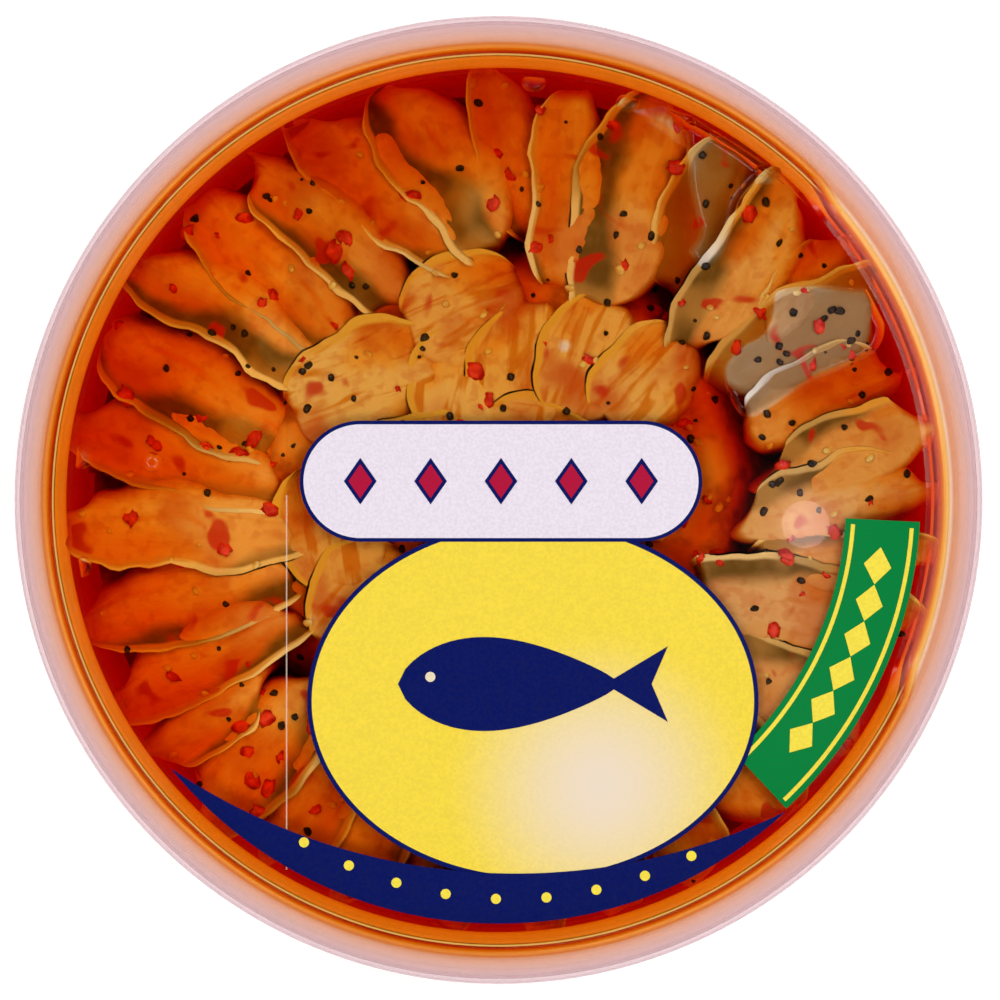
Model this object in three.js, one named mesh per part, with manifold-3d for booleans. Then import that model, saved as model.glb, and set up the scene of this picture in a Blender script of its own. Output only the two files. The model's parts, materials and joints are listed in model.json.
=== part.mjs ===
// Herring fillets in spiced oil, packed in a round clear tub with a recessed clear lid.
// Millimetres, +Z up. The origin is the middle of the tub's flat base.
import * as THREE from 'three';
import { mergeVertices } from 'three/addons/utils/BufferGeometryUtils.js';
import Module from 'manifold-3d';

const wasm = await Module();
wasm.setup();

// The pack
const packRadius = 59;
const packHeight = 31;
const roundSegments = 48;
const coreSegments = 20;
const cornerSteps = 3;
const gap = 0.35;

// The tub
const tubWall = 0.7;
const tubFloor = 0.9;
const tubInnerLow = 50.5;
const tubInnerHigh = 55.75;
const tubCornerRound = 3;
const tubRimTop = packHeight - 1.1;
const tubRimRadius = packRadius - 0.95;
const tubLipDepth = 1.7;
const footGroove = { inner: 36, outer: 39, depth: 0.4, slope: 0.4 };

// The lid
const lidWall = 0.6;
const lidPanelTop = packHeight - 3.7;
const lidPanelRadius = 53.1;
const lidPlugFlare = 0.9;
const lidSkirtWall = 0.6;
const lidSkirtDepth = 4.6;
const lidTopGroove = { inner: 56.2, outer: 57.1, depth: 0.25 };

// The fillets, which stand on edge
const contentFloor = tubFloor + gap;
const contentTop = lidPanelTop - lidWall - gap;
const ringCore = { inner: 26, outer: 45.5, top: 18.5 };
const centreCore = { radius: 18.5, top: 19.5 };
const filletFacets = { round: 12, tall: 6 };
const filletPower = { plan: 0.64, tall: 0.3, crown: 0.5 };
const clearedAbove = 6;

// The seasoning on the fillets
const grainsInTurn = [1, 2];
const pepperRadius = 0.65;
const chiliRadius = 1.2;
const chiliFlatness = 0.42;
const grainSink = 0.15;

// The printed fields of the lid's film
const printThickness = 0.25;
const printGap = 0.3;
const ovalField = { x: 4.2, y: -24.6, halfWidth: 27.6, halfHeight: 22 };
const plateField = { x: 0.3, y: 2.3, halfWidth: 24.6, halfHeight: 7.4 };
const footField = { radius: 51.8, innerX: 2.1, innerY: 29.9, thickness: 6.2 };
const bandField = { inner: 42.5, outer: 51.6, from: -47, to: -3 };
const fishField = { x: 4.2, y: -22.5, length: 33, height: 11 };

// Each ring fillet runs from its outer end by the wall to its inner end by the centre.
// Angles in degrees from +X, distances from the axis, the width across its edge,
// its top edge's height below the contents' top, and how far it leans, in millimetres.
const ringFillets = [
  { outerAngle: 3, outer: 52.5, innerAngle: 356, inner: 29.5, width: 8.5, drop: 1.0, lean: 2.0 },
  { outerAngle: 10.5, outer: 53.4, innerAngle: 5, inner: 33.2, width: 8.3, drop: 0.7, lean: -1.5 },
  { outerAngle: 18.5, outer: 51.4, innerAngle: 16, inner: 31.2, width: 8.5, drop: 1.2, lean: 1.8 },
  { outerAngle: 28.5, outer: 53.6, innerAngle: 25, inner: 31, width: 10.3, drop: 2.4, lean: 2.6 },
  { outerAngle: 38, outer: 53.2, innerAngle: 32, inner: 38, width: 6.0, drop: 3.2, lean: 1.0 },
  { outerAngle: 46.5, outer: 53.6, innerAngle: 37.4, inner: 30.1, width: 8.7, drop: 0.8, lean: 2.2 },
  { outerAngle: 56, outer: 53.5, innerAngle: 49, inner: 33, width: 9.6, drop: 3.0, lean: 2.5 },
  { outerAngle: 67, outer: 53.6, innerAngle: 61.9, inner: 26.2, width: 10.8, drop: 1.1, lean: 2.4 },
  { outerAngle: 78.9, outer: 51.6, innerAngle: 73, inner: 26.2, width: 8.3, drop: 0.9, lean: 1.2 },
  { outerAngle: 91, outer: 53.4, innerAngle: 82, inner: 33, width: 7.2, drop: 5.5, lean: 1.5 },
  { outerAngle: 105.3, outer: 52.4, innerAngle: 89.7, inner: 30.4, width: 10.5, drop: 1.0, lean: 2.6 },
  { outerAngle: 116.7, outer: 52.5, innerAngle: 98, inner: 30.5, width: 9.6, drop: 1.2, lean: 2.2 },
  { outerAngle: 126.6, outer: 51.2, innerAngle: 117.4, inner: 26.1, width: 8.3, drop: 1.1, lean: 1.8 },
  { outerAngle: 134.6, outer: 52.4, innerAngle: 133.2, inner: 25.3, width: 9.2, drop: 0.9, lean: 2.0 },
  { outerAngle: 146.4, outer: 53.6, innerAngle: 143.6, inner: 26.8, width: 8.5, drop: 0.7, lean: 2.2 },
  { outerAngle: 156.6, outer: 52.7, innerAngle: 166.2, inner: 26.6, width: 9.9, drop: 1.3, lean: 2.4 },
  { outerAngle: 168.8, outer: 52.9, innerAngle: 176.5, inner: 26.1, width: 9.6, drop: 0.9, lean: 1.8 },
  { outerAngle: 181.8, outer: 53.6, innerAngle: 187.5, inner: 24.7, width: 9.2, drop: 0.7, lean: 1.4 },
  { outerAngle: 196.4, outer: 53.2, innerAngle: 200, inner: 25.6, width: 9.0, drop: 0.8, lean: 2.0 },
  { outerAngle: 207.2, outer: 52.8, innerAngle: 209.5, inner: 27.9, width: 8.7, drop: 1.0, lean: 2.0 },
  { outerAngle: 216.5, outer: 53.4, innerAngle: 218, inner: 36, width: 6.3, drop: 1.8, lean: 1.2 },
  { outerAngle: 226.6, outer: 53.2, innerAngle: 225, inner: 30.5, width: 10.1, drop: 0.8, lean: 1.8 },
  { outerAngle: 238.5, outer: 52.9, innerAngle: 237, inner: 27, width: 9.2, drop: 1.2, lean: 2.2 },
  { outerAngle: 250, outer: 53.3, innerAngle: 249, inner: 26, width: 9.4, drop: 0.9, lean: 1.6 },
  { outerAngle: 262, outer: 52.6, innerAngle: 262.5, inner: 27.2, width: 9.2, drop: 1.4, lean: 2.1 },
  { outerAngle: 274, outer: 53.4, innerAngle: 275, inner: 26.2, width: 9.6, drop: 0.8, lean: 1.7 },
  { outerAngle: 286, outer: 52.9, innerAngle: 288, inner: 26.6, width: 9.2, drop: 1.2, lean: 2.3 },
  { outerAngle: 298.5, outer: 53.5, innerAngle: 300, inner: 27.4, width: 9.4, drop: 1.0, lean: 1.8 },
  { outerAngle: 312, outer: 52.8, innerAngle: 312.5, inner: 29, width: 9.9, drop: 1.1, lean: 2.2 },
  { outerAngle: 326.5, outer: 53.4, innerAngle: 324.2, inner: 30.5, width: 9.4, drop: 0.9, lean: 2.0 },
  { outerAngle: 342, outer: 53.2, innerAngle: 336.5, inner: 26.9, width: 10.1, drop: 1.1, lean: 2.4 },
  { outerAngle: 352, outer: 53.3, innerAngle: 347, inner: 33.5, width: 6.8, drop: 1.6, lean: 1.6 },
];

// The paler pieces in the middle: place, length along the turn, width and drop.
const centreFillets = [
  { x: -16.2, y: 13.2, length: 20.1, width: 10.7, turn: 22, drop: 0.9, lean: 1.2 },
  { x: -3.6, y: 22.6, length: 15.9, width: 9.8, turn: 24, drop: 1.8, lean: 1.6 },
  { x: -3.4, y: 14.6, length: 13.8, width: 8.4, turn: 82, drop: 1.2, lean: 0.8 },
  { x: 4.6, y: 16.8, length: 16.4, width: 8.9, turn: 84, drop: 0.5, lean: 1.2 },
  { x: 11.8, y: 17.2, length: 15.9, width: 9.1, turn: 68, drop: 0.3, lean: 1.4 },
  { x: 18.6, y: 14.4, length: 14.8, width: 8.9, turn: 48, drop: 0.6, lean: 1.2 },
  { x: -19.0, y: -3.0, length: 16.5, width: 10.4, turn: 98, drop: 0.8, lean: 1.0 },
  { x: -14.6, y: -13.4, length: 15.9, width: 10.0, turn: 52, drop: 0.6, lean: 1.4 },
  { x: -9.4, y: 3.4, length: 15.9, width: 9.6, turn: 10, drop: 1.4, lean: 1.0 },
  { x: 4.4, y: 4.2, length: 17.0, width: 9.6, turn: -12, drop: 0.9, lean: 1.2 },
  { x: 18.6, y: 2.2, length: 14.8, width: 9.1, turn: 74, drop: 2.2, lean: 1.6 },
  { x: 14.4, y: -10.6, length: 17.0, width: 9.6, turn: 140, drop: 2.6, lean: 1.4 },
  { x: 0.6, y: -7.6, length: 18.0, width: 9.8, turn: 168, drop: 1.2, lean: 1.2 },
  { x: 2.4, y: -18.2, length: 17.0, width: 9.6, turn: 8, drop: 1.0, lean: 1.6 },
];

// Gives the same run of numbers between 0 and 1 each time.
function seededRandom(seed) {
  let state = seed;
  return () => {
    state = (state * 1664525 + 1013904223) % 4294967296;
    return state / 4294967296;
  };
}

function radians(degrees) {
  return degrees * Math.PI / 180;
}

// The tub's inner wall widens evenly from its corner to its rim.
function tubInnerRadius(z) {
  const low = tubFloor + tubCornerRound;
  return tubInnerLow + (tubInnerHigh - tubInnerLow) * (z - low) / (tubRimTop - low);
}

// A quarter round from straight down to straight out, or back, as profile points.
function cornerPoints(centreRadius, centreZ, round, steps) {
  const points = [];
  for (let step = 0; step <= steps; step += 1) {
    const turn = Math.PI / 2 * step / steps;
    points.push([centreRadius + round * Math.sin(turn), centreZ - round * Math.cos(turn)]);
  }
  return points;
}

// Turns a closed profile of [radius, z] points about the Z axis.
function turned(profile, segments = roundSegments) {
  const points = profile.map(([radius, z]) => new THREE.Vector2(radius, z));
  const geometry = new THREE.LatheGeometry(points, segments);
  return geometry.rotateX(Math.PI / 2);
}

function toSolid(geometry) {
  const bare = geometry.index ? geometry.toNonIndexed() : geometry.clone();
  bare.deleteAttribute('normal');
  bare.deleteAttribute('uv');
  const merged = mergeVertices(bare, 1e-4);
  const triVerts = new Uint32Array(merged.index.array);
  const vertProperties = new Float32Array(merged.attributes.position.array);
  return new wasm.Manifold(new wasm.Mesh({ numProp: 3, vertProperties, triVerts }));
}

// The largest body alone, so that loose scraps and sealed hollows are left out.
function mainBody(solid) {
  const bodies = solid.decompose();
  return bodies.reduce((best, body) => (body.volume() > best.volume() ? body : best));
}

function toGeometry(solid) {
  const mesh = solid.getMesh();
  const geometry = new THREE.BufferGeometry();
  geometry.setAttribute('position', new THREE.BufferAttribute(mesh.vertProperties, 3));
  geometry.setIndex(new THREE.BufferAttribute(mesh.triVerts, 1));
  geometry.computeVertexNormals();
  return geometry;
}

function namedMesh(name, geometry, color, roughness, opacity = 1) {
  const material = new THREE.MeshStandardMaterial({ color, roughness, metalness: 0 });
  material.transparent = opacity < 1;
  material.opacity = opacity;
  const mesh = new THREE.Mesh(geometry, material);
  mesh.name = name;
  return mesh;
}

// The tub: a thin drafted cup with a ring groove under it and a rim with a turned-down lip.
function tubGeometry() {
  const corner = tubCornerRound;
  const outerCorner = cornerPoints(tubInnerLow + tubWall - corner, corner, corner, cornerSteps);
  const innerCorner = cornerPoints(tubInnerLow - corner, tubFloor + corner, corner, cornerSteps).reverse();
  const rimUnder = tubRimTop - tubWall;
  const { inner, outer, depth, slope } = footGroove;
  return turned([
    [0, 0],
    [inner, 0],
    [inner + slope, depth],
    [outer - slope, depth],
    [outer, 0],
    ...outerCorner,
    [tubInnerRadius(rimUnder) + tubWall, rimUnder],
    [tubRimRadius - tubWall, rimUnder],
    [tubRimRadius - tubWall, tubRimTop - tubLipDepth],
    [tubRimRadius, tubRimTop - tubLipDepth],
    [tubRimRadius, tubRimTop],
    [tubInnerHigh, tubRimTop],
    ...innerCorner,
    [0, tubFloor],
  ]);
}

// The lid: a sunken panel, a wall up to the top bead, and a skirt over the tub's rim.
function lidGeometry() {
  const under = tubRimTop + gap;
  const panelUnder = lidPanelTop - lidWall;
  const skirtInner = packRadius - lidSkirtWall;
  const skirtLow = packHeight - lidSkirtDepth;
  const topInner = lidPanelRadius + lidPlugFlare;
  const { inner, outer, depth } = lidTopGroove;
  return turned([
    [0, panelUnder],
    [lidPanelRadius, panelUnder],
    [lidPanelRadius + lidWall, lidPanelTop],
    [topInner + lidWall - 0.3, under - 0.4],
    [topInner + lidWall, under],
    [skirtInner, under],
    [skirtInner, skirtLow + 1.2],
    [skirtInner - 0.2, skirtLow + 0.8],
    [skirtInner - 0.2, skirtLow + 0.4],
    [skirtInner, skirtLow],
    [packRadius, skirtLow],
    [packRadius, packHeight - 0.6],
    [packRadius - 0.5, packHeight],
    [outer + 0.15, packHeight],
    [outer, packHeight - depth],
    [inner, packHeight - depth],
    [inner - 0.15, packHeight],
    [topInner + 0.4, packHeight],
    [topInner, packHeight - 0.5],
    [lidPanelRadius, lidPanelTop + 0.6],
    [lidPanelRadius - 0.6, lidPanelTop],
    [0, lidPanelTop],
  ]);
}

// How far the contents reach from the axis: the tub's inner wall, less a small gap,
// and less again in its rounded corner.
function roomRadius(z) {
  const round = tubCornerRound - gap;
  const cornerTop = contentFloor + round;
  if (z >= cornerTop) {
    return tubInnerRadius(z) - gap;
  }
  const drop = Math.min(1, (cornerTop - z) / round);
  return tubInnerRadius(cornerTop) - gap - round * (1 - Math.sqrt(1 - drop * drop));
}

function signedPower(value, power) {
  return Math.sign(value) * Math.abs(value) ** power;
}

// One fillet on edge: a sphere pressed into a rounded slab, bowed, tapered and leaning.
// Its outer end presses flat against the tub's wall. grow widens it all round, and
// tall raises its top, for the cut that clears it.
function filletGeometry(fillet, grow = 0, tall = 0) {
  const low = contentFloor;
  const top = contentTop - fillet.drop;
  const halfLength = fillet.length / 2 + grow;
  const halfWidth = fillet.width / 2 + grow;
  const halfHeight = (top + tall - low) / 2;
  const geometry = new THREE.SphereGeometry(1, filletFacets.round, filletFacets.tall);
  geometry.rotateX(Math.PI / 2);
  const position = geometry.attributes.position;
  const turn = radians(fillet.turn);
  const point = new THREE.Vector3();
  for (let index = 0; index < position.count; index += 1) {
    point.fromBufferAttribute(position, index);
    const around = Math.atan2(point.y, point.x);
    const girth = Math.hypot(point.x, point.y) ** filletPower.tall;
    const along = signedPower(Math.cos(around), filletPower.plan) * girth;
    const across = signedPower(Math.sin(around), filletPower.plan) * girth;
    const height = signedPower(point.z, filletPower.crown);
    const z = low + halfHeight * (1 + height) + fillet.tilt * along * (height + 1) / 2;
    const leaning = fillet.lean * (z - top) / (top - low);
    const bowed = fillet.bow * (1 - along * along);
    const u = halfLength * along;
    const v = halfWidth * across * (1 - fillet.taper * along) + bowed + leaning;
    const x = fillet.x + u * Math.cos(turn) - v * Math.sin(turn);
    const y = fillet.y + u * Math.sin(turn) + v * Math.cos(turn);
    const inside = Math.min(1, roomRadius(z) / Math.hypot(x, y));
    position.setXYZ(index, x * inside, y * inside, z);
  }
  return geometry;
}

// A ring fillet's row, given from its two ends, as a place, a length and a turn.
function placedRingFillet(row, random) {
  const outerX = row.outer * Math.cos(radians(row.outerAngle));
  const outerY = row.outer * Math.sin(radians(row.outerAngle));
  const innerX = row.inner * Math.cos(radians(row.innerAngle));
  const innerY = row.inner * Math.sin(radians(row.innerAngle));
  return {
    ...row,
    x: (outerX + innerX) / 2,
    y: (outerY + innerY) / 2,
    length: Math.hypot(outerX - innerX, outerY - innerY),
    turn: Math.atan2(outerY - innerY, outerX - innerX) * 180 / Math.PI,
    taper: -0.05 - 0.12 * random(),
    bow: 1.6 * (random() - 0.5),
    tilt: 0.5 * (random() - 0.5),
  };
}

function placedCentreFillet(row, random) {
  return {
    ...row,
    taper: 0.2 * (random() - 0.5),
    bow: 0.6 + 1.2 * random(),
    tilt: 0.4 * (random() - 0.5),
  };
}

// How far the faceted crown lies below its peak, at a share of the way to its edge.
function crownDrop(halfHeight, along, across) {
  const power = 2 / filletPower.plan;
  const share = (Math.abs(along) ** power + Math.abs(across) ** power) ** (1 / power);
  const ringTurn = Math.PI / filletFacets.tall;
  const ringShare = Math.sin(ringTurn) ** filletPower.tall;
  const ringDrop = 1 - Math.cos(ringTurn) ** filletPower.crown;
  return halfHeight * ringDrop * Math.min(1, share / ringShare);
}

// A few peppercorn bits and chili flakes, half sunk in one fillet's top edge.
function grainSolids(fillet, count, random) {
  const turn = radians(fillet.turn);
  const solids = [];
  for (let index = 0; index < count; index += 1) {
    const share = (index + 0.2 + 0.6 * random()) / count;
    const along = 1.3 * (share - 0.5);
    const across = 0.6 * (random() - 0.5);
    const isChili = random() < 0.4;
    const radius = (isChili ? chiliRadius : pepperRadius) * (0.85 + 0.3 * random());
    const u = fillet.length / 2 * along;
    const v = fillet.width / 2 * across + fillet.bow * (1 - along * along);
    const halfHeight = (contentTop - fillet.drop - contentFloor) / 2;
    const crown = contentTop - fillet.drop + fillet.tilt * along;
    const top = crown - crownDrop(halfHeight, along, across);
    const geometry = new THREE.OctahedronGeometry(radius);
    geometry.rotateZ(6 * random());
    geometry.scale(1, 0.75, isChili ? chiliFlatness : 1);
    geometry.translate(
      fillet.x + u * Math.cos(turn) - v * Math.sin(turn),
      fillet.y + u * Math.sin(turn) + v * Math.cos(turn),
      top - grainSink,
    );
    solids.push(toSolid(geometry));
  }
  return solids;
}

// The pale middle pieces on their own smaller core.
function centreSolid(fillets, random) {
  const { radius, top } = centreCore;
  const core = toSolid(turned([[0, contentFloor], [radius, contentFloor], [radius, top], [0, top]], coreSegments));
  const pieces = fillets.map((fillet) => toSolid(filletGeometry(fillet)));
  const grains = fillets.flatMap((fillet) => grainSolids(fillet, grainsInTurn[0], random));
  return mainBody(wasm.Manifold.union([core, ...pieces, ...grains]));
}

// The ring of fillets on its core, cut clear of the middle pieces.
function ringSolid(fillets, middle, random) {
  const { inner, outer, top } = ringCore;
  const core = toSolid(turned([
    [inner, contentFloor],
    [outer, contentFloor],
    [outer, top - 3],
    [outer - 3, top],
    [inner, top],
    [inner, contentFloor],
  ], coreSegments));
  const pieces = fillets.map((fillet) => toSolid(filletGeometry(fillet)));
  const grains = fillets.flatMap((fillet, index) => (
    grainSolids(fillet, grainsInTurn[index % grainsInTurn.length], random)
  ));
  const cleared = middle.flatMap((fillet) => [
    toSolid(filletGeometry(fillet, gap)),
    toSolid(filletGeometry(fillet, gap, clearedAbove)),
  ]);
  const heap = wasm.Manifold.union([core, ...pieces, ...grains]);
  return mainBody(heap.subtract(wasm.Manifold.union(cleared)));
}

// A flat field of print on the lid's panel.
function printGeometry(shape, curveSegments = 14, above = 0) {
  const geometry = new THREE.ExtrudeGeometry(shape, {
    depth: printThickness,
    bevelEnabled: false,
    curveSegments,
  });
  return geometry.translate(0, 0, lidPanelTop + above);
}

function plateShape(grow = 0) {
  const { x, y, halfWidth } = plateField;
  const halfHeight = plateField.halfHeight + grow;
  const reach = halfWidth - plateField.halfHeight;
  const shape = new THREE.Shape();
  shape.absarc(x + reach, y, halfHeight, -Math.PI / 2, Math.PI / 2);
  shape.absarc(x - reach, y, halfHeight, Math.PI / 2, Math.PI * 1.5);
  shape.closePath();
  return shape;
}

// The crescent along the lower rim, between the panel's edge and a flatter arc.
function footShape(grow = 0) {
  const { radius, innerX, innerY, thickness } = footField;
  const reach = Math.hypot(innerX, innerY);
  const innerRadius = radius + reach - thickness - grow;
  const axisAngle = Math.atan2(innerY, innerX);
  const cosine = (radius ** 2 + reach ** 2 - innerRadius ** 2) / (2 * radius * reach);
  const tip = Math.acos(cosine);
  const start = new THREE.Vector2(Math.cos(axisAngle + tip), Math.sin(axisAngle + tip));
  const end = new THREE.Vector2(Math.cos(axisAngle - tip), Math.sin(axisAngle - tip));
  start.multiplyScalar(radius);
  end.multiplyScalar(radius);
  const innerStart = Math.atan2(end.y - innerY, end.x - innerX);
  const innerEnd = Math.atan2(start.y - innerY, start.x - innerX);
  const shape = new THREE.Shape();
  shape.absarc(0, 0, radius, axisAngle + tip, axisAngle - tip + 2 * Math.PI);
  shape.absarc(innerX, innerY, innerRadius, innerStart, innerEnd, true);
  shape.closePath();
  return shape;
}

// The large oval, cut clear of the plate above it and the crescent below it.
function ovalSolid() {
  const { x, y, halfWidth, halfHeight } = ovalField;
  const shape = new THREE.Shape();
  shape.absellipse(x, y, halfWidth, halfHeight, 0, Math.PI * 2);
  const plateCut = toSolid(printGeometry(plateShape(printGap)));
  const footCut = toSolid(printGeometry(footShape(printGap)));
  return toSolid(printGeometry(shape, 40)).subtract(plateCut).subtract(footCut);
}

function bandShape() {
  const { inner, outer, from, to } = bandField;
  const shape = new THREE.Shape();
  shape.absarc(0, 0, outer, radians(from), radians(to));
  shape.absarc(0, 0, inner, radians(to), radians(from), true);
  shape.closePath();
  return shape;
}

// The band's end stays clear of the oval.
function bandSolid() {
  const { x, y, halfWidth, halfHeight } = ovalField;
  const oval = new THREE.Shape();
  oval.absellipse(x, y, halfWidth + printGap, halfHeight + printGap, 0, Math.PI * 2);
  const footCut = toSolid(printGeometry(footShape(printGap)));
  const band = toSolid(printGeometry(bandShape()));
  return mainBody(band.subtract(toSolid(printGeometry(oval, 40))).subtract(footCut));
}

// A plain swimming fish: a pointed oval body and a forked tail.
function fishShape() {
  const { x, y, length, height } = fishField;
  const nose = x - length / 2;
  const root = x + length * 0.3;
  const tail = x + length / 2;
  const shape = new THREE.Shape();
  shape.moveTo(nose, y);
  shape.quadraticCurveTo(x - length * 0.16, y - height * 0.72, root, y - height * 0.1);
  shape.lineTo(tail, y - height * 0.42);
  shape.lineTo(tail - length * 0.06, y);
  shape.lineTo(tail, y + height * 0.42);
  shape.lineTo(root, y + height * 0.1);
  shape.quadraticCurveTo(x - length * 0.16, y + height * 0.72, nose, y);
  return shape;
}

const random = seededRandom(220);
const placedRing = ringFillets.map((row) => placedRingFillet(row, random));
const placedCentre = centreFillets.map((row) => placedCentreFillet(row, random));
const ring = ringSolid(placedRing, placedCentre, random);
const centre = centreSolid(placedCentre, random);

const pack = new THREE.Group();
pack.add(namedMesh('tub', tubGeometry(), 0xf1e3e4, 0.15, 0.35));
pack.add(namedMesh('lid', lidGeometry(), 0xf3e6e8, 0.12, 0.3));
pack.add(namedMesh('ring_fillets', toGeometry(ring), 0xcf6416, 0.4));
pack.add(namedMesh('centre_fillets', toGeometry(centre), 0xd8a468, 0.4));
pack.add(namedMesh('label_oval', toGeometry(ovalSolid()), 0xf8dc48, 0.35));
pack.add(namedMesh('label_plate', printGeometry(plateShape()), 0xece0ee, 0.35));
pack.add(namedMesh('label_foot', printGeometry(footShape()), 0x0a1a66, 0.35));
pack.add(namedMesh('label_band', toGeometry(bandSolid()), 0x0a8444, 0.35));
pack.add(namedMesh('label_fish', printGeometry(fishShape(), 10, printThickness), 0x0a1a66, 0.35));

export default pack;
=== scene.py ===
# Herring fillets in spiced oil, in a round clear tub, seen from straight above.
import json
import math

import bmesh
import bpy
import numpy as np
from mathutils import Matrix, Vector, geometry, noise
from mathutils.bvhtree import BVHTree

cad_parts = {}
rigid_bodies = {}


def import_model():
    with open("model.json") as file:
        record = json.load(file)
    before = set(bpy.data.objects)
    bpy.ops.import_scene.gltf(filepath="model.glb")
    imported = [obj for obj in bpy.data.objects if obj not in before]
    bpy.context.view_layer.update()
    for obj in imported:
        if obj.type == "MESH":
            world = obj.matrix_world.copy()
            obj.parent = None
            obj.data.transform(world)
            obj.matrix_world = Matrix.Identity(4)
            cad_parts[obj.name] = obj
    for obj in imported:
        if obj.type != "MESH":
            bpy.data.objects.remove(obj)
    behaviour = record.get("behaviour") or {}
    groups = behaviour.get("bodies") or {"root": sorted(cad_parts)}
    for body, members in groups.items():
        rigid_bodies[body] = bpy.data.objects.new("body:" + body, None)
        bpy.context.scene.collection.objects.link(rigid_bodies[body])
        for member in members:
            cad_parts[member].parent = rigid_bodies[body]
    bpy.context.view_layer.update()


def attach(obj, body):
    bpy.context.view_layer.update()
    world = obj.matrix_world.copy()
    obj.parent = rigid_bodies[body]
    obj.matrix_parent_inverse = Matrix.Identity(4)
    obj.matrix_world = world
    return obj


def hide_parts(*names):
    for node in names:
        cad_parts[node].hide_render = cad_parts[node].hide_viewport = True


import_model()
scene = bpy.context.scene
mm = 0.001  # every length below is in millimetres until its mesh is made


# Meshes

def addObject(name, mesh, material=None):
    made = bpy.data.objects.new(name, mesh)
    scene.collection.objects.link(made)
    if material:
        mesh.materials.append(material)
    return made


def addMesh(name, points, faces, material=None, sharpAngle=None):
    mesh = bpy.data.meshes.new(name)
    mesh.from_pydata((np.asarray(points, float) * mm).tolist(), [], faces)
    mesh.validate()
    mesh.shade_smooth()
    if sharpAngle:
        mesh.set_sharp_from_angle(angle=math.radians(sharpAngle))
    return addObject(name, mesh, material)


def finished(piece, slot, *nodes):
    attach(piece, "root")
    if nodes:
        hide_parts(*nodes)
    return piece


# The evaluated object as a plain mesh, with its modifiers taken off.
def bakeModifiers(piece, name):
    graph = bpy.context.evaluated_depsgraph_get()
    mesh = bpy.data.meshes.new_from_object(piece.evaluated_get(graph))
    mesh.name = name
    bpy.data.objects.remove(piece)
    return addObject(name, mesh)


def smoothStep(low, high, value):
    share = np.clip((value - low) / (high - low), 0, 1)
    return share * share * (3 - 2 * share)


def evenTurns(count):
    return np.linspace(0, 2 * math.pi, count, endpoint=False)


def polar(radius, turn):
    return radius * math.cos(turn), radius * math.sin(turn)


# The quads between two loops of count points each, which start at the points near and far.
def bandFaces(near, far, count):
    pairs = [(step, (step + 1) % count) for step in range(count)]
    return [(near + step, near + after, far + after, far + step) for step, after in pairs]


# A smooth line through the points of a closed loop.
def smoothLoop(corners, steps):
    corners = np.asarray(corners, float)
    count = len(corners)
    points = []
    for index in range(count):
        before, here, after, beyond = (corners[(index + offset) % count] for offset in (-1, 0, 1, 2))
        for step in range(steps):
            t = step / steps
            points.append(0.5 * (2 * here + (after - before) * t
                                 + (2 * before - 5 * here + 4 * after - beyond) * t ** 2
                                 + (3 * here - before - 3 * after + beyond) * t ** 3))
    return np.array(points)


# Rounds each corner of a profile of [radius, z] points that starts and ends on the axis.
def roundedProfile(corners, radius, steps=3):
    corners = [np.array(corner, float) for corner in corners]
    points = [corners[0]]
    for before, here, after in zip(corners, corners[1:], corners[2:]):
        back, ahead = before - here, after - here
        backLength, aheadLength = np.linalg.norm(back), np.linalg.norm(ahead)
        reach = min(radius, 0.42 * backLength, 0.42 * aheadLength)  # rounds next to each other don't meet
        start, end = here + back / backLength * reach, here + ahead / aheadLength * reach
        for step in range(steps + 1):
            t = step / steps
            points.append((1 - t) ** 2 * start + 2 * t * (1 - t) * here + t ** 2 * end)
    points.append(corners[-1])
    return points


# Turns a profile about the Z axis; its first and last points are on the axis.
def turnedMesh(name, profile, segments, material, sharpAngle=30):
    turns = evenTurns(segments)
    rings = profile[1:-1]
    points = [(0, 0, profile[0][1])]
    for radius, z in rings:
        points.extend(zip(radius * np.cos(turns), radius * np.sin(turns), [z] * segments))
    points.append((0, 0, profile[-1][1]))
    faces = []
    last = len(points) - 1
    for step in range(segments):
        after = (step + 1) % segments
        faces.append((0, 1 + after, 1 + step))
        for ring in range(len(rings) - 1):
            low, high = 1 + ring * segments, 1 + (ring + 1) * segments
            faces.append((low + step, low + after, high + after, high + step))
        top = 1 + (len(rings) - 1) * segments
        faces.append((last, top + step, top + after))
    return addMesh(name, points, faces, material, sharpAngle)


# Materials

def newMaterial(name):
    material = bpy.data.materials.new(name)
    material.use_nodes = True
    material.node_tree.nodes.clear()
    return material, material.node_tree


def addNode(tree, kind, inputs=(), **settings):
    node = tree.nodes.new(kind)
    for key, value in settings.items():
        setattr(node, key, value)
    for socket, value in dict(inputs).items():
        if isinstance(value, bpy.types.NodeSocket):
            tree.links.new(value, node.inputs[socket])
        else:
            node.inputs[socket].default_value = value
    return node


def maths(tree, operation, first, second=0.0, third=0.0):
    inputs = {0: first, 1: second}
    if operation == "MULTIPLY_ADD":
        inputs[2] = third
    return addNode(tree, "ShaderNodeMath", inputs, operation=operation).outputs[0]


def product(tree, first, second):
    return maths(tree, "MULTIPLY", first, second)


def difference(tree, first, second):
    return maths(tree, "SUBTRACT", first, second)


def mixColour(tree, factor, first, second):
    inputs = {0: factor, 6: first, 7: second}
    return addNode(tree, "ShaderNodeMix", inputs, data_type="RGBA").outputs[2]


def spread(tree, value, low, high, toLow=0.0, toHigh=1.0):
    inputs = {"Value": value, "From Min": low, "From Max": high, "To Min": toLow, "To Max": toHigh}
    return addNode(tree, "ShaderNodeMapRange", inputs, interpolation_type="SMOOTHSTEP").outputs[0]


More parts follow.
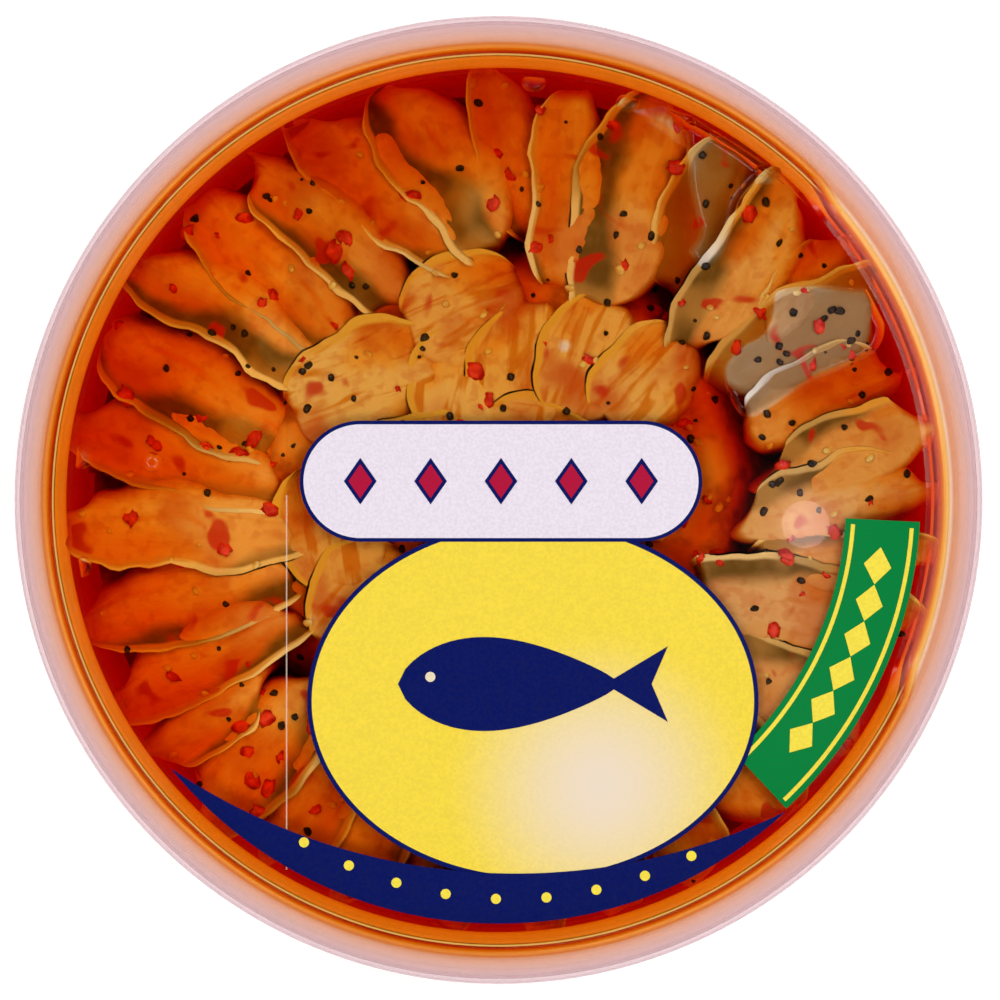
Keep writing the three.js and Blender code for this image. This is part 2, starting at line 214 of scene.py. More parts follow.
def noiseTexture(tree, vector, scale, detail=3.0, distortion=0.0):
    inputs = {"Vector": vector, "Scale": scale, "Detail": detail, "Distortion": distortion}
    return addNode(tree, "ShaderNodeTexNoise", inputs).outputs["Fac"]


def objectPlace(tree):
    return addNode(tree, "ShaderNodeTexCoord").outputs["Object"]


def readAttribute(tree, name):
    return addNode(tree, "ShaderNodeAttribute", attribute_name=name).outputs["Fac"]


def bumped(tree, height, strength, distance):
    inputs = {"Height": height, "Strength": strength, "Distance": distance}
    return addNode(tree, "ShaderNodeBump", inputs).outputs[0]


def surfaceOutput(tree, shader):
    output = addNode(tree, "ShaderNodeOutputMaterial")
    tree.links.new(shader.outputs[0], output.inputs["Surface"])
    return output


def mixShaders(tree, share, first, second):
    return addNode(tree, "ShaderNodeMixShader", {0: share, 1: first.outputs[0], 2: second.outputs[0]})


def shaded(tree, inputs):
    surfaceOutput(tree, addNode(tree, "ShaderNodeBsdfPrincipled", inputs))


# Distance of a place from the Z axis, in metres.
def axisDistance(tree, place):
    split = addNode(tree, "ShaderNodeSeparateXYZ", {0: place})
    square = maths(tree, "MULTIPLY_ADD", split.outputs[0], split.outputs[0],
                   product(tree, split.outputs[1], split.outputs[1]))
    return maths(tree, "SQRT", square)


oilGap = {"airMiddle": 9.5, "airHalf": 36.5}  # the sector, in degrees, where the gap by the wall holds air


# One where oil stands in the gap round the lid, nought where air does.
def oilSide(tree):
    split = addNode(tree, "ShaderNodeSeparateXYZ", {0: objectPlace(tree)})
    turn = maths(tree, "ARCTAN2", split.outputs[1], split.outputs[0])
    half = math.radians(oilGap["airHalf"])
    away = maths(tree, "ABSOLUTE", difference(tree, turn, math.radians(oilGap["airMiddle"])))
    return spread(tree, away, half - 0.06, half)


# Clear moulded plastic: see-through and a little milky, with a painted warm glow of the oil's colour, which
# light carries into the rim, fading outwards into the plastic's own tint; stained by the oil near the wall,
# and with a thin bright line where the wall's foot catches the light.
def clearPlastic(name, look):
    material, tree = newMaterial(name)
    distance = axisDistance(tree, objectPlace(tree))

    def outwards(start, end, *values):
        return spread(tree, distance, look[start] * mm, look[end] * mm, *values)

    def stepAt(key, before, after, *values):
        return spread(tree, distance, (look[key] - before) * mm, (look[key] + after) * mm, *values)

    # Painted glow: warm inwards, where light carries the oil's colour into the rim, and the plastic's own
    # tint outwards.
    glowToOwnTint = outwards("glowFadeFrom", "glowFadeTo")
    nearWall = product(tree, stepAt("stainFrom", 0.5, 0), stepAt("stainTo", 0, 0.4, 1, 0))
    nearWall = product(tree, nearWall, oilSide(tree))
    offLine = maths(tree, "ABSOLUTE", difference(tree, distance, look["lineAt"] * mm))
    line = spread(tree, offLine, 0.5 * look["lineHalf"] * mm, look["lineHalf"] * mm, look["lineShare"], 0)
    line = product(tree, line, nearWall)
    colour = mixColour(tree, glowToOwnTint, look["oilGlowColour"], look["outerColour"])
    colour = mixColour(tree, nearWall, colour, look["stainColour"])
    colour = mixColour(tree, line, colour, look["lineColour"])
    plastic = addNode(tree, "ShaderNodeBsdfPrincipled", {
        "Base Color": colour, "Roughness": look["roughness"], "IOR": 1.5})
    # What the rim lets through takes the same painted warm glow inwards.
    through = mixColour(tree, glowToOwnTint, look["oilGlowThroughRim"], look["throughOuterRim"])
    through = mixColour(tree, stepAt("rimFrom", 0, 0.5), look["through"], through)
    through = mixColour(tree, nearWall, through, look["stain"])
    clear = addNode(tree, "ShaderNodeBsdfTransparent", {"Color": through})
    facing = addNode(tree, "ShaderNodeLayerWeight", {"Blend": 0.5}).outputs["Facing"]
    grazing = maths(tree, "POWER", facing, look["edgePower"])
    milk = outwards("milkFrom", "milkTo", look["milkInner"], look["milkOuter"])
    milk = maths(tree, "MAXIMUM", maths(tree, "MULTIPLY_ADD", grazing, look["edgeGain"], milk), line)
    seen = difference(tree, 1.0, addNode(tree, "ShaderNodeLightPath").outputs["Is Shadow Ray"])
    surfaceOutput(tree, mixShaders(tree, product(tree, milk, seen), clear, plastic))
    return material


# A thin clear sheet: see-through, with a faint mirror.
def clearSheet(name, look):
    material, tree = newMaterial(name)
    clear = addNode(tree, "ShaderNodeBsdfTransparent", {"Color": look["through"]})
    mirror = addNode(tree, "ShaderNodeBsdfPrincipled", {
        "Base Color": (1, 1, 1, 1), "Metallic": 1.0, "Roughness": look["shineRoughness"]})
    surfaceOutput(tree, mixShaders(tree, look["shine"], clear, mirror))
    return material


# Camera, light and floor

photoView = {"height": 900, "frameLevel": 31, "frameWidth": 121.78, "sensor": 36, "right": 0.18}


def addCamera(view):
    camera = bpy.data.cameras.new("photoCamera")
    camera.sensor_width = view["sensor"]
    camera.lens = view["sensor"] * (view["height"] - view["frameLevel"]) / view["frameWidth"]
    camera.clip_start = 0.01
    camera.clip_end = 20
    holder = bpy.data.objects.new("photoCamera", camera)
    holder.location = (view["right"] * mm, 0, view["height"] * mm)
    scene.collection.objects.link(holder)
    scene.camera = holder


softboxes = {"distance": 900, "width": 620, "height": 420, "elevation": 52, "firstTurn": 35,
             "powers": (2.15, 1.65, 1.95, 1.65), "colour": (1.0, 0.98, 0.97)}
roundLamps = {"places": ((75.2, -6.0), (76.8, -54.0)), "height": 905, "size": 11.7,
              "power": 0.0016, "colour": (1.0, 0.78, 0.72)}
skyLight = {"horizon": 0.50, "zenith": 0.0, "fadeFrom": 0.86, "fadeTo": 0.985, "colour": (0.95, 0.97, 1.0)}


def addLamp(name, shape, place, power, colour, size, height=None):
    lamp = bpy.data.lights.new(name, "AREA")
    lamp.shape = shape
    lamp.size = size * mm
    if height:
        lamp.size_y = height * mm
    lamp.energy = power
    lamp.color = colour
    holder = bpy.data.objects.new(name, lamp)
    holder.location = Vector(place) * mm
    holder.rotation_euler = Vector(place).to_track_quat("Z", "Y").to_euler()
    scene.collection.objects.link(holder)


def addLights():
    rise = math.radians(softboxes["elevation"])
    for index, power in enumerate(softboxes["powers"]):
        turn = math.radians(softboxes["firstTurn"] + 90 * index)
        x, y = polar(softboxes["distance"] * math.cos(rise), turn)
        place = (x, y, softboxes["distance"] * math.sin(rise))
        addLamp(f"softbox{index + 1}", "RECTANGLE", place, power, softboxes["colour"],
                softboxes["width"], softboxes["height"])
    for index, (x, y) in enumerate(roundLamps["places"]):
        addLamp(f"roundLamp{index + 1}", "DISK", (x, y, roundLamps["height"]), roundLamps["power"],
                roundLamps["colour"], roundLamps["size"])
    world = bpy.data.worlds.new("studio")
    world.use_nodes = True
    tree = world.node_tree
    tree.nodes.clear()
    way = addNode(tree, "ShaderNodeTexCoord").outputs["Generated"]
    up = addNode(tree, "ShaderNodeSeparateXYZ", {0: way}).outputs[2]
    strength = spread(tree, up, skyLight["fadeFrom"], skyLight["fadeTo"],
                      skyLight["horizon"], skyLight["zenith"])
    sky = addNode(tree, "ShaderNodeBackground", {"Color": (*skyLight["colour"], 1), "Strength": strength})
    output = addNode(tree, "ShaderNodeOutputWorld")
    tree.links.new(sky.outputs[0], output.inputs["Surface"])
    scene.world = world


floorLook = {"halfWidth": 1500, "white": (0.93, 0.93, 0.93, 1), "glow": 0.42, "grain": 260}


def addFloor():
    material, tree = newMaterial("paperFloor")
    grain = noiseTexture(tree, objectPlace(tree), floorLook["grain"], 2)
    shaded(tree, {"Base Color": floorLook["white"], "Roughness": 0.7, "Specular IOR Level": 0.2,
                  "Emission Color": (1, 1, 1, 1), "Emission Strength": floorLook["glow"],
                  "Normal": bumped(tree, grain, 0.02, 0.0004)})
    half = floorLook["halfWidth"]
    points = [(-half, -half, 0), (half, -half, 0), (half, half, 0), (-half, half, 0)]
    addMesh("floor", points, [(0, 1, 2, 3)], material)


addCamera(photoView)
addLights()
addFloor()
scene.view_settings.view_transform = "Standard"
# Few bounces and no light tree: nested clear pieces and oil take long to render.
scene.cycles.caustics_reflective = False
scene.cycles.caustics_refractive = False
scene.cycles.max_bounces = 4
scene.cycles.diffuse_bounces = 1
scene.cycles.glossy_bounces = 2
scene.cycles.transmission_bounces = 4
scene.cycles.transparent_max_bounces = 12
scene.cycles.adaptive_threshold = 0.035
scene.cycles.use_light_tree = False
print("stage ready")


# The tub

tub = {"wall": 0.7, "floor": 0.9, "innerLow": 50.5, "innerHigh": 55.75, "corner": 3, "rimTop": 29.9,
       "rimRadius": 58.05, "lipDepth": 1.7, "grooveInner": 36, "grooveOuter": 39, "grooveDepth": 0.4,
       "segments": 192, "round": 0.3}
# The warm inner colours of the rim are painted light: the oil's colour glowing through the plastic.
plasticLook = {
    "oilGlowColour": (0.96, 0.70, 0.56, 1), "outerColour": (0.95, 0.84, 0.85, 1), "glowFadeFrom": 55,
    "glowFadeTo": 58.8, "roughness": 0.12, "through": (0.99, 0.985, 0.98, 1), "rimFrom": 55.1,
    "oilGlowThroughRim": (0.93, 0.76, 0.64, 1), "throughOuterRim": (0.88, 0.785, 0.81, 1),
    "milkFrom": 55.4, "milkTo": 57, "milkInner": 0.001, "milkOuter": 0.18, "edgePower": 4, "edgeGain": 0.6,
    "stain": (0.91, 0.86, 0.60, 1), "stainColour": (0.93, 0.52, 0.05, 1), "stainFrom": 52.9, "stainTo": 54.9,
    "lineAt": 54.3, "lineHalf": 0.14, "lineShare": 0, "lineColour": (1.0, 0.66, 0.20, 1)}
sheetLook = {"through": (0.985, 0.98, 0.975, 1), "shine": 0.025, "shineRoughness": 0.05, "radius": 52.4}


def tubInnerRadius(z):
    low = tub["floor"] + tub["corner"]
    return tub["innerLow"] + (tub["innerHigh"] - tub["innerLow"]) * (z - low) / (tub["rimTop"] - low)


def cornerArc(radius, z, size, steps):
    turns = [math.pi / 2 * step / steps for step in range(steps + 1)]
    return [(radius + size * math.sin(turn), z - size * math.cos(turn)) for turn in turns]


def tubProfile():
    corner, wall, top = tub["corner"], tub["wall"], tub["rimTop"]
    rimUnder, lipEnd = top - wall, top - tub["lipDepth"]
    rimInner, rimOuter = tub["rimRadius"] - wall, tub["rimRadius"]
    groove = tub["grooveDepth"]
    outerArc = cornerArc(tub["innerLow"] + wall - corner, corner, corner, 8)
    innerArc = cornerArc(tub["innerLow"] - corner, tub["floor"] + corner, corner, 8)[::-1]
    return [(0, 0), (tub["grooveInner"], 0), (tub["grooveInner"] + groove, groove),
            (tub["grooveOuter"] - groove, groove), (tub["grooveOuter"], 0), *outerArc,
            (tubInnerRadius(rimUnder) + wall, rimUnder), (rimInner, rimUnder), (rimInner, lipEnd),
            (rimOuter, lipEnd), (rimOuter, top), (tub["innerHigh"], top), *innerArc, (0, tub["floor"])]


tubPlastic = clearPlastic("tubPlastic", plasticLook)
tubPiece = turnedMesh("clearTub", roundedProfile(tubProfile(), tub["round"]), tub["segments"], tubPlastic)
finished(tubPiece, "tub_plastic", "tub")
print("tub ready")


# The lid: a sunken panel, a wall up to the grooved bead, and a skirt over the tub's rim

lid = {"segments": 192, "round": 0.28, "profile": [
    (0, 26.7), (53.1, 26.7), (53.7, 27.3), (54.3, 29.85), (54.6, 30.25), (58.4, 30.25), (58.4, 27.6),
    (58.2, 27.2), (58.2, 26.8), (58.4, 26.4), (59, 26.4), (59, 30.4), (58.5, 31), (57.25, 31), (57.1, 30.75),
    (56.2, 30.75), (56.05, 31), (54.4, 31), (54.0, 30.5), (53.1, 27.9), (52.5, 27.3), (0, 27.3)]}
lidLook = {**plasticLook, "milkInner": 0.0002, "roughness": 0.08, "lineShare": 0.6}

lidPlastic = clearPlastic("lidPlastic", lidLook)
lidPiece = turnedMesh("clearLid", roundedProfile(lid["profile"], lid["round"]), lid["segments"], lidPlastic)
lidPiece.data.materials.append(clearSheet("lidPanel", sheetLook))
for face in lidPiece.data.polygons:
    if math.hypot(face.center.x, face.center.y) < sheetLook["radius"] * mm:
        face.material_index = 1
finished(lidPiece, "lid_plastic", "lid")
print("lid ready")


# The oil, which fills the tub up to the lid's panel and stands in the gap round its wall

# Where air is in the gap, the oil's outline blends into the low one.
oil = {"bottom": 0.45, "top": 26.73, "intoWall": 0.35, "meniscus": 0.35, "airBlend": 6, "segments": 256,
       "wallRings": 9, "middleLevel": 16, "flatRadius": 52.15, "colour": (0.972, 0.70, 0.0, 1),
       "density": 1600, "ior": 1.47,
       "full": {"level": 29.3, "gapInner": 54.15, "wallFoot": (53.4, 27.6), "panelEdge": 52.9},
       "low": {"level": 26.4, "gapInner": 53.3, "wallFoot": (52.95, 26.55), "panelEdge": 52.3}}


# Shadow and diffuse rays pass through the oil unbent, so that the lights reach what it covers. So does
# every ray where it touches the tub's wall.
def oilMaterial():
    material, tree = newMaterial("spicedOil")
    fluid = addNode(tree, "ShaderNodeBsdfPrincipled", {
        "Base Color": (1, 1, 1, 1), "Roughness": 0.0, "IOR": oil["ior"], "Transmission Weight": 1.0})
    path = addNode(tree, "ShaderNodeLightPath").outputs
    letThrough = maths(tree, "MAXIMUM", path["Is Shadow Ray"], path["Is Diffuse Ray"])
    letThrough = maths(tree, "MAXIMUM", letThrough, readAttribute(tree, "onWall"))
    clear = addNode(tree, "ShaderNodeBsdfTransparent")
    output = surfaceOutput(tree, mixShaders(tree, letThrough, fluid, clear))
    depth = addNode(tree, "ShaderNodeVolumeAbsorption", {"Color": oil["colour"], "Density": oil["density"]})
    tree.links.new(depth.outputs[0], output.inputs["Volume"])
    return material


# The oil's outline, from its underside up the tub's wall, over the gap, and in along the panel.
def oilProfile(gap):
    corner, rise, level, inner = tub["corner"], oil["meniscus"], gap["level"], gap["gapInner"]
    arc = cornerArc(tub["innerLow"] - corner + oil["intoWall"], oil["bottom"] + corner, corner, 6)
    wallTop = tubInnerRadius(level) + oil["intoWall"]
    width = wallTop - oil["intoWall"] - inner
    middle = (tubInnerRadius(oil["middleLevel"]) + oil["intoWall"], oil["middleLevel"])
    return [(0, oil["bottom"]), *arc, middle, (wallTop, level + rise),
            (wallTop - oil["intoWall"], level + rise), (inner + 0.8 * width, level + 0.3 * rise),
            (inner + 0.5 * width, level), (inner + 0.2 * width, level + 0.3 * rise),
            (inner, level + rise), gap["wallFoot"], (gap["panelEdge"], oil["top"]),
            (oil["flatRadius"], oil["top"]), (0, oil["top"])]


def oilBody():
    full, low = oilProfile(oil["full"]), oilProfile(oil["low"])
    segments = oil["segments"]
    body = turnedMesh("oilBody", full, segments, None)
    for step in range(segments):
        turn = (360 * step / segments + 180) % 360 - 180
        away = abs(turn - oilGap["airMiddle"])
        air = smoothStep(oilGap["airHalf"], oilGap["airHalf"] - oil["airBlend"], away)
        for ring in range(len(full) - 2):
            radius, z = (1 - air) * np.array(full[ring + 1]) + air * np.array(low[ring + 1])
            vertex = body.data.vertices[1 + ring * segments + step]
            vertex.co = Vector((*polar(radius, math.radians(turn)), z)) * mm
    wallPoints = 1 + oil["wallRings"] * segments  # those inside the tub's plastic
    onWall = body.data.attributes.new("onWall", "FLOAT", "POINT")
    onWall.data.foreach_set("value", [1.0] * wallPoints + [0.0] * (len(body.data.vertices) - wallPoints))
    return body


# Air bubbles trapped under the lid: outlines of the two large ones, and the small ones as x, y, and half
# the width and height.
largeBubbles = [
    [(23.2, 47.4), (25.9, 47.4), (30.3, 44.6), (33.9, 41.5), (32.2, 39.7), (29.6, 36.8), (28.8, 33.9),
     (27.3, 30.0), (25.0, 28.5), (23.3, 30.4), (24.5, 33.0), (24.0, 35.2), (23.2, 39.7)],
    [(33.8, 25.0), (34.6, 25.8), (38.7, 26.3), (43.5, 25.9), (46.6, 25.6), (47.3, 22.4), (46.6, 18.8),
     (43.5, 16.6), (38.4, 14.5), (33.1, 11.1), (31.0, 10.1), (29.4, 10.6), (28.0, 13.4), (27.8, 16.4),
     (30.0, 18.9), (32.1, 20.1), (33.4, 22.2)],
]
smallBubbles = [
    (4.3, 51.0, 1.5, 1.1), (15.9, 48.6, 1.5, 1.2), (-51.0, 5.2, 1.4, 1.4), (-42.4, 4.6, 1.3, 1.3),
    (8.1, 18.9, 0.9, 0.9), (-50.9, -8.2, 1.1, 1.3), (-22.7, -14.4, 0.6, 0.6), (-21.5, -18.3, 0.6, 0.6)]
bubbleShape = {"steps": 7, "largeDepth": 1.9, "largeRounding": 1.1, "smallDepth": 0.8, "smallRounding": 0.75,
               "outlineSteps": 5, "ovalPoints": 28, "firstTurn": 22, "reach": 51.9}


# A pillow of air as nested loops, each with its level: the outline, drawn in as it goes down.
def bubbleLoops(outline, depth, rounding):
    outline = np.asarray(outline, float)
    outline = outline * np.minimum(1, bubbleShape["reach"] / np.hypot(*outline.T))[:, None]
    ahead, behind = np.roll(outline, -1, 0), np.roll(outline, 1, 0)
    tangent = ahead - behind
    normal = np.stack([tangent[:, 1], -tangent[:, 0]], 1)
    normal /= np.linalg.norm(normal, axis=1)[:, None]
    area = 0.5 * np.sum(outline[:, 0] * ahead[:, 1] - ahead[:, 0] * outline[:, 1])
    inward = -normal * math.copysign(1, area)
    first = math.radians(bubbleShape["firstTurn"])
    loops = []
    for step in range(bubbleShape["steps"] + 1):
        turn = first + (math.pi / 2 - first) * step / bubbleShape["steps"]
        share = (math.sin(turn) - math.sin(first)) / (1 - math.sin(first))
        drawnIn = inward * rounding * (math.cos(first) - math.cos(turn))
        loops.append((outline + drawnIn, oil["top"] - depth * share))
    return loops


def ovalOutline(x, y, halfWidth, halfHeight):
    turns = evenTurns(bubbleShape["ovalPoints"])
    return np.stack([x + halfWidth * np.cos(turns), y + halfHeight * np.sin(turns)], 1)


# The oil's level top with the bubbles' hollows in it, as one triangulated sheet.
def hollowedTop():
    turns = evenTurns(oil["segments"])
    loops = [(oil["flatRadius"] * np.stack([np.cos(turns), np.sin(turns)], 1), oil["top"])]
    for corners in largeBubbles:
        outline = smoothLoop(corners, bubbleShape["outlineSteps"])
        loops += bubbleLoops(outline, bubbleShape["largeDepth"], bubbleShape["largeRounding"])
    for x, y, width, height in smallBubbles:
        size = min(width, height)
        outline = ovalOutline(x, y, width, height)
        loops += bubbleLoops(outline, bubbleShape["smallDepth"] * size, bubbleShape["smallRounding"] * size)
    places, levels, edges = [], [], []
    for loop, level in loops:
        start, count = len(places), len(loop)
        places += [Vector(place) for place in loop]
        levels += [level] * count
        edges += [(start + index, start + (index + 1) % count) for index in range(count)]
    made, _, faces, sources, _, _ = geometry.delaunay_2d_cdt(places, edges, [], 0, 1e-4)
    points = []
    for place, source in zip(made, sources):
        near = source or [min(range(len(places)), key=lambda index: (places[index] - place).length)]
        points.append((place.x, place.y, levels[near[0]]))
    return points, [list(face) for face in faces]


def oilWithBubbles(material):
    body = oilBody()
    points, faces = hollowedTop()
    whole = bmesh.new()
    whole.from_mesh(body.data)
    whole.verts.ensure_lookup_table()
    bmesh.ops.delete(whole, geom=[whole.verts[-1]], context="VERTS")
    added = [whole.verts.new(Vector(point) * mm) for point in points]
    for face in faces:
        whole.faces.new([added[index] for index in face])
    bmesh.ops.remove_doubles(whole, verts=whole.verts, dist=0.002 * mm)
    bmesh.ops.recalc_face_normals(whole, faces=whole.faces)
    whole.to_mesh(body.data)
    whole.free()
    body.data.materials.append(material)
    body.data.shade_smooth()
    body.data.set_sharp_from_angle(angle=math.radians(32))
    for face in body.data.polygons:
        if face.normal.z > 0.9999 and face.center.z > 20 * mm:  # the level top stays flat in shading
            face.use_smooth = False
    body.name = "spicedOil"
    return body


oilPiece = oilWithBubbles(oilMaterial())
finished(oilPiece, "tub_plastic")
print("oil ready", len(oilPiece.data.polygons))


# The fillets

# Level tops differ by steps of capStep, so that those of neighbours don't lie in one plane.
contents = {"floor": 1.25, "top": 26.62, "gap": 0.35, "wallRound": 2.65, "dropShare": 0.18, "cap": 26.48,
            "capStep": 0.015, "ringCapDrop": 0.195, "pinkCapRise": 0.15}

# The ring, fillet by fillet: angle in degrees and distance from the axis of the outer end by the wall and
# of the inner end by the centre, width, drop below the contents' top, and lean. pale, pink and grey colour
# the flesh, skin is how far the grey skin reaches in, and slope, roll and lift tip or raise the top.
ringKeys = ("outerAngle", "outer", "innerAngle", "inner", "width", "drop", "lean")
ringFillets = [
    (3, 52.5, 356, 29.5, 8.5, 1.0, 2.0, {"pink": 0.6, "pale": 0.7, "slope": 0.5, "lift": 0.6}),
    (10.5, 53.4, 5, 33.2, 8.3, 0.7, -1.5, {"pink": 0.3, "pale": 0.9, "slope": 0.2, "lift": 1.0}),
    (18.5, 51.4, 16, 31.2, 8.5, 1.2, 1.8, {"pale": 0.35, "skin": 0.2, "slope": 1.1}),
    (28.5, 53.6, 25, 31, 10.3, 0, 2.6, {"grey": 0.9, "skin": 0.7, "slope": 0.2, "roll": 0.5, "lift": -0.2}),
    (38, 53.2, 32, 38, 6.0, 3.2, 1.0, {"pale": 0.5, "slope": 0.7}),
    (46.5, 53.6, 37.4, 30.1, 8.7, 0.8, 2.2, {"pale": 0.8, "skin": 0.6, "slope": 0.4, "lift": 0.4}),
    (56, 53.5, 49, 33, 9.6, 1, 2.5, {"grey": 0.7, "skin": 0.8, "slope": 0.3, "roll": 3.0}),
    (67, 53.6, 61.9, 26.2, 10.8, 1.1, 2.4, {"skin": 0.9, "pale": 0.7, "slope": 0.6, "lift": 0.3}),
    (78.9, 51.6, 73, 26.2, 8.3, 0.9, 1.2, {"skin": 0.1, "pale": 0.1}),
    (91, 53.4, 82, 33, 7.2, 5.5, 1.5, {"skin": 0.3}),
    (105.3, 52.4, 89.7, 30.4, 10.5, 1.0, 2.6, {"skin": 0.95, "pale": 0.2}),
    (116.7, 52.5, 98, 30.5, 9.6, 1.2, 2.2, {"skin": 0.15, "slope": 1.5}),
    (126.6, 51.2, 117.4, 26.1, 8.3, 1.1, 1.8, {"skin": 0.6}),
    (134.6, 52.4, 133.2, 25.3, 9.2, 0.9, 2.0, {"skin": 0.3, "slope": 1.0}),
    (146.4, 53.6, 143.6, 26.8, 8.5, 0.7, 2.2, {"skin": 0.85, "pale": 0.5, "slope": 0.9}),
    (156.6, 52.7, 166.2, 26.6, 9.9, 1.3, 2.4, {"skin": 0.75, "slope": 1.5}),
    (168.8, 52.9, 176.5, 26.1, 9.6, 0.9, 1.8, {"skin": 0.3, "slope": 1.9}),
    (181.8, 53.6, 187.5, 24.7, 9.2, 0.7, 1.4, {"pale": 0.6, "skin": 0.1, "slope": 1.0, "lift": 0.3}),
    (196.4, 53.2, 200, 25.6, 9.0, 0.8, 2.0, {"skin": 0.6, "pale": 0.2, "slope": 1.5}),
    (207.2, 52.8, 209.5, 27.9, 8.7, 1.0, 2.0, {"skin": 0.35, "slope": 1.5}),
    (216.5, 53.4, 218, 36, 6.3, 1.8, 1.2, {}),
    (226.6, 53.2, 225, 30.5, 10.1, 0.8, 1.8, {"skin": 0.5}),
    (238.5, 52.9, 237, 27, 9.2, 1.2, 2.2, {"skin": 0.4}),
    (250, 53.3, 249, 26, 9.4, 0.9, 1.6, {}),
    (262, 52.6, 262.5, 27.2, 9.2, 1.4, 2.1, {"skin": 0.2}),
    (274, 53.4, 275, 26.2, 9.6, 0.8, 1.7, {"skin": 0.6}),
    (286, 52.9, 288, 26.6, 9.2, 1.2, 2.3, {"pale": 0.2}),
    (298.5, 53.5, 300, 27.4, 9.4, 1.0, 1.8, {"pink": 0.3}),
    (312, 52.8, 312.5, 29, 9.9, 1.1, 2.2, {"pink": 0.4, "pale": 0.5, "slope": 0.7, "lift": 0.4}),
    (326.5, 53.4, 324.2, 30.5, 9.4, 0.9, 2.0, {"pink": 0.7, "pale": 0.8, "slope": 0.5, "lift": 0.8}),
    (342, 53.2, 336.5, 26.9, 10.1, 1.1, 2.4, {"pink": 0.8, "pale": 0.7, "slope": 0.4, "lift": 0.8}),
    (352, 53.3, 347, 33.5, 6.8, 1.6, 1.6, {"pink": 0.8, "pale": 0.7, "slope": 0.4, "lift": 0.8}),
]
centreKeys = ("x", "y", "length", "width", "turn", "drop", "lean")
centreFillets = [
    (-16.2, 13.2, 20.1, 10.7, 22, 0.9, 1.2), (-3.6, 22.6, 15.9, 9.8, 24, 1.8, 1.6),
    (-3.4, 14.6, 13.8, 8.4, 82, 1.2, 0.8), (4.6, 16.8, 16.4, 8.9, 84, 0.5, 1.2),
    (11.8, 17.2, 15.9, 9.1, 68, 0.3, 1.4), (18.6, 14.4, 14.8, 8.9, 48, 0.6, 1.2),
    (-19.0, -3.0, 16.5, 10.4, 98, 0.8, 1.0), (-14.6, -13.4, 15.9, 10.0, 52, 0.6, 1.4),
    (-9.4, 3.4, 15.9, 9.6, 10, 1.4, 1.0), (4.4, 4.2, 17.0, 9.6, -12, 0.9, 1.2),
    (18.6, 2.2, 14.8, 9.1, 74, 2.2, 1.6), (14.4, -10.6, 17.0, 9.6, 140, 2.6, 1.4),
    (0.6, -7.6, 18.0, 9.8, 168, 1.2, 1.2), (2.4, -18.2, 17.0, 9.6, 8, 1.0, 1.6),
]
centreLook = {"pale": 0.85, "skin": -0.6, "slope": 0.2, "widthShare": 1.4, "lift": 0.35, "capDrop": 0.2375}
plainLook = {"pale": 0.1, "pink": 0.0, "skin": 0.45, "grey": 0.0}

# The cross-section of a fillet on edge, from its underside round: [across, rise]. Its skin side, which is
# the anticlockwise one in the ring, has a thin lip above a shallow scoop.
filletSection = [
    (-0.7, 0.0), (0.0, -0.005), (0.7, 0.0), (0.9, 0.1), (0.93, 0.5), (0.955, 0.9), (0.985, 0.965),
    (1.0, 0.985), (0.985, 0.999), (0.95, 1.0), (0.91, 0.99), (0.85, 0.974), (0.7, 0.962), (0.48, 0.961),
    (0.22, 0.972), (-0.05, 0.982), (-0.4, 0.98), (-0.7, 0.962), (-0.88, 0.935), (-0.97, 0.9),
    (-1.0, 0.86), (-0.995, 0.75), (-0.97, 0.5), (-0.9, 0.1)]
filletShape = {
    "stations": 38, "sectionSteps": 3, "crowding": 0.9, "blunt": {"inner": (3.4, 2.2), "outer": (2.8, 1.5)},
    "endDrop": 0.012, "endFall": 0.3, "widthShare": 1.24, "slope": 0.35, "slopeSpread": 0.9, "sway": 1.7,
    "dent": 0.32, "smallDent": 0.45, "groove": 0.06, "grooveSpacing": 2.6, "grooveSlant": 0.55,
    "grooveWander": 0.9, "crease": 0.5, "creaseWidth": 0.35, "creaseMiddle": -0.25, "creaseWander": 0.5,
    "skew": 3.2, "dryBorder": 0.9, "ragged": 0.5, "raggedTip": 0.7, "endLift": 0.5}
filletNoise = {  # scale, and what is added to the fillet's number to seed it
    "dent": (0.16, 1), "smallDent": (0.42, 50), "groove": (0.2, 90), "sway": (0.06, 130),
    "side": (0.45, 170), "creasePlace": (0.09, 210), "creaseDepth": (0.14, 250), "tip": (0.45, 310)}


# The same run of numbers as in the part's own source, so that each fillet has the same bow and tilt.
def seededRandom(seed):
    state = seed
    while True:
        state = (state * 1664525 + 1013904223) % 4294967296
        yield state / 4294967296


shapeRandom = seededRandom(220)


def placedRing(numbers):
    row = dict(zip(ringKeys, numbers))
    outer = np.array(polar(row["outer"], math.radians(row["outerAngle"])))
    inner = np.array(polar(row["inner"], math.radians(row["innerAngle"])))
    reach = outer - inner
    x, y = (outer + inner) / 2
    return {**row, "x": x, "y": y, "length": np.linalg.norm(reach),
            "turn": math.degrees(math.atan2(reach[1], reach[0])), "taper": -0.05 - 0.12 * next(shapeRandom),
            "bow": 1.6 * (next(shapeRandom) - 0.5), "tilt": 0.5 * (next(shapeRandom) - 0.5)}


def placedCentre(numbers):
    return {**dict(zip(centreKeys, numbers)), "taper": 0.2 * (next(shapeRandom) - 0.5),
            "bow": 0.6 + 1.2 * next(shapeRandom), "tilt": 0.4 * (next(shapeRandom) - 0.5)}


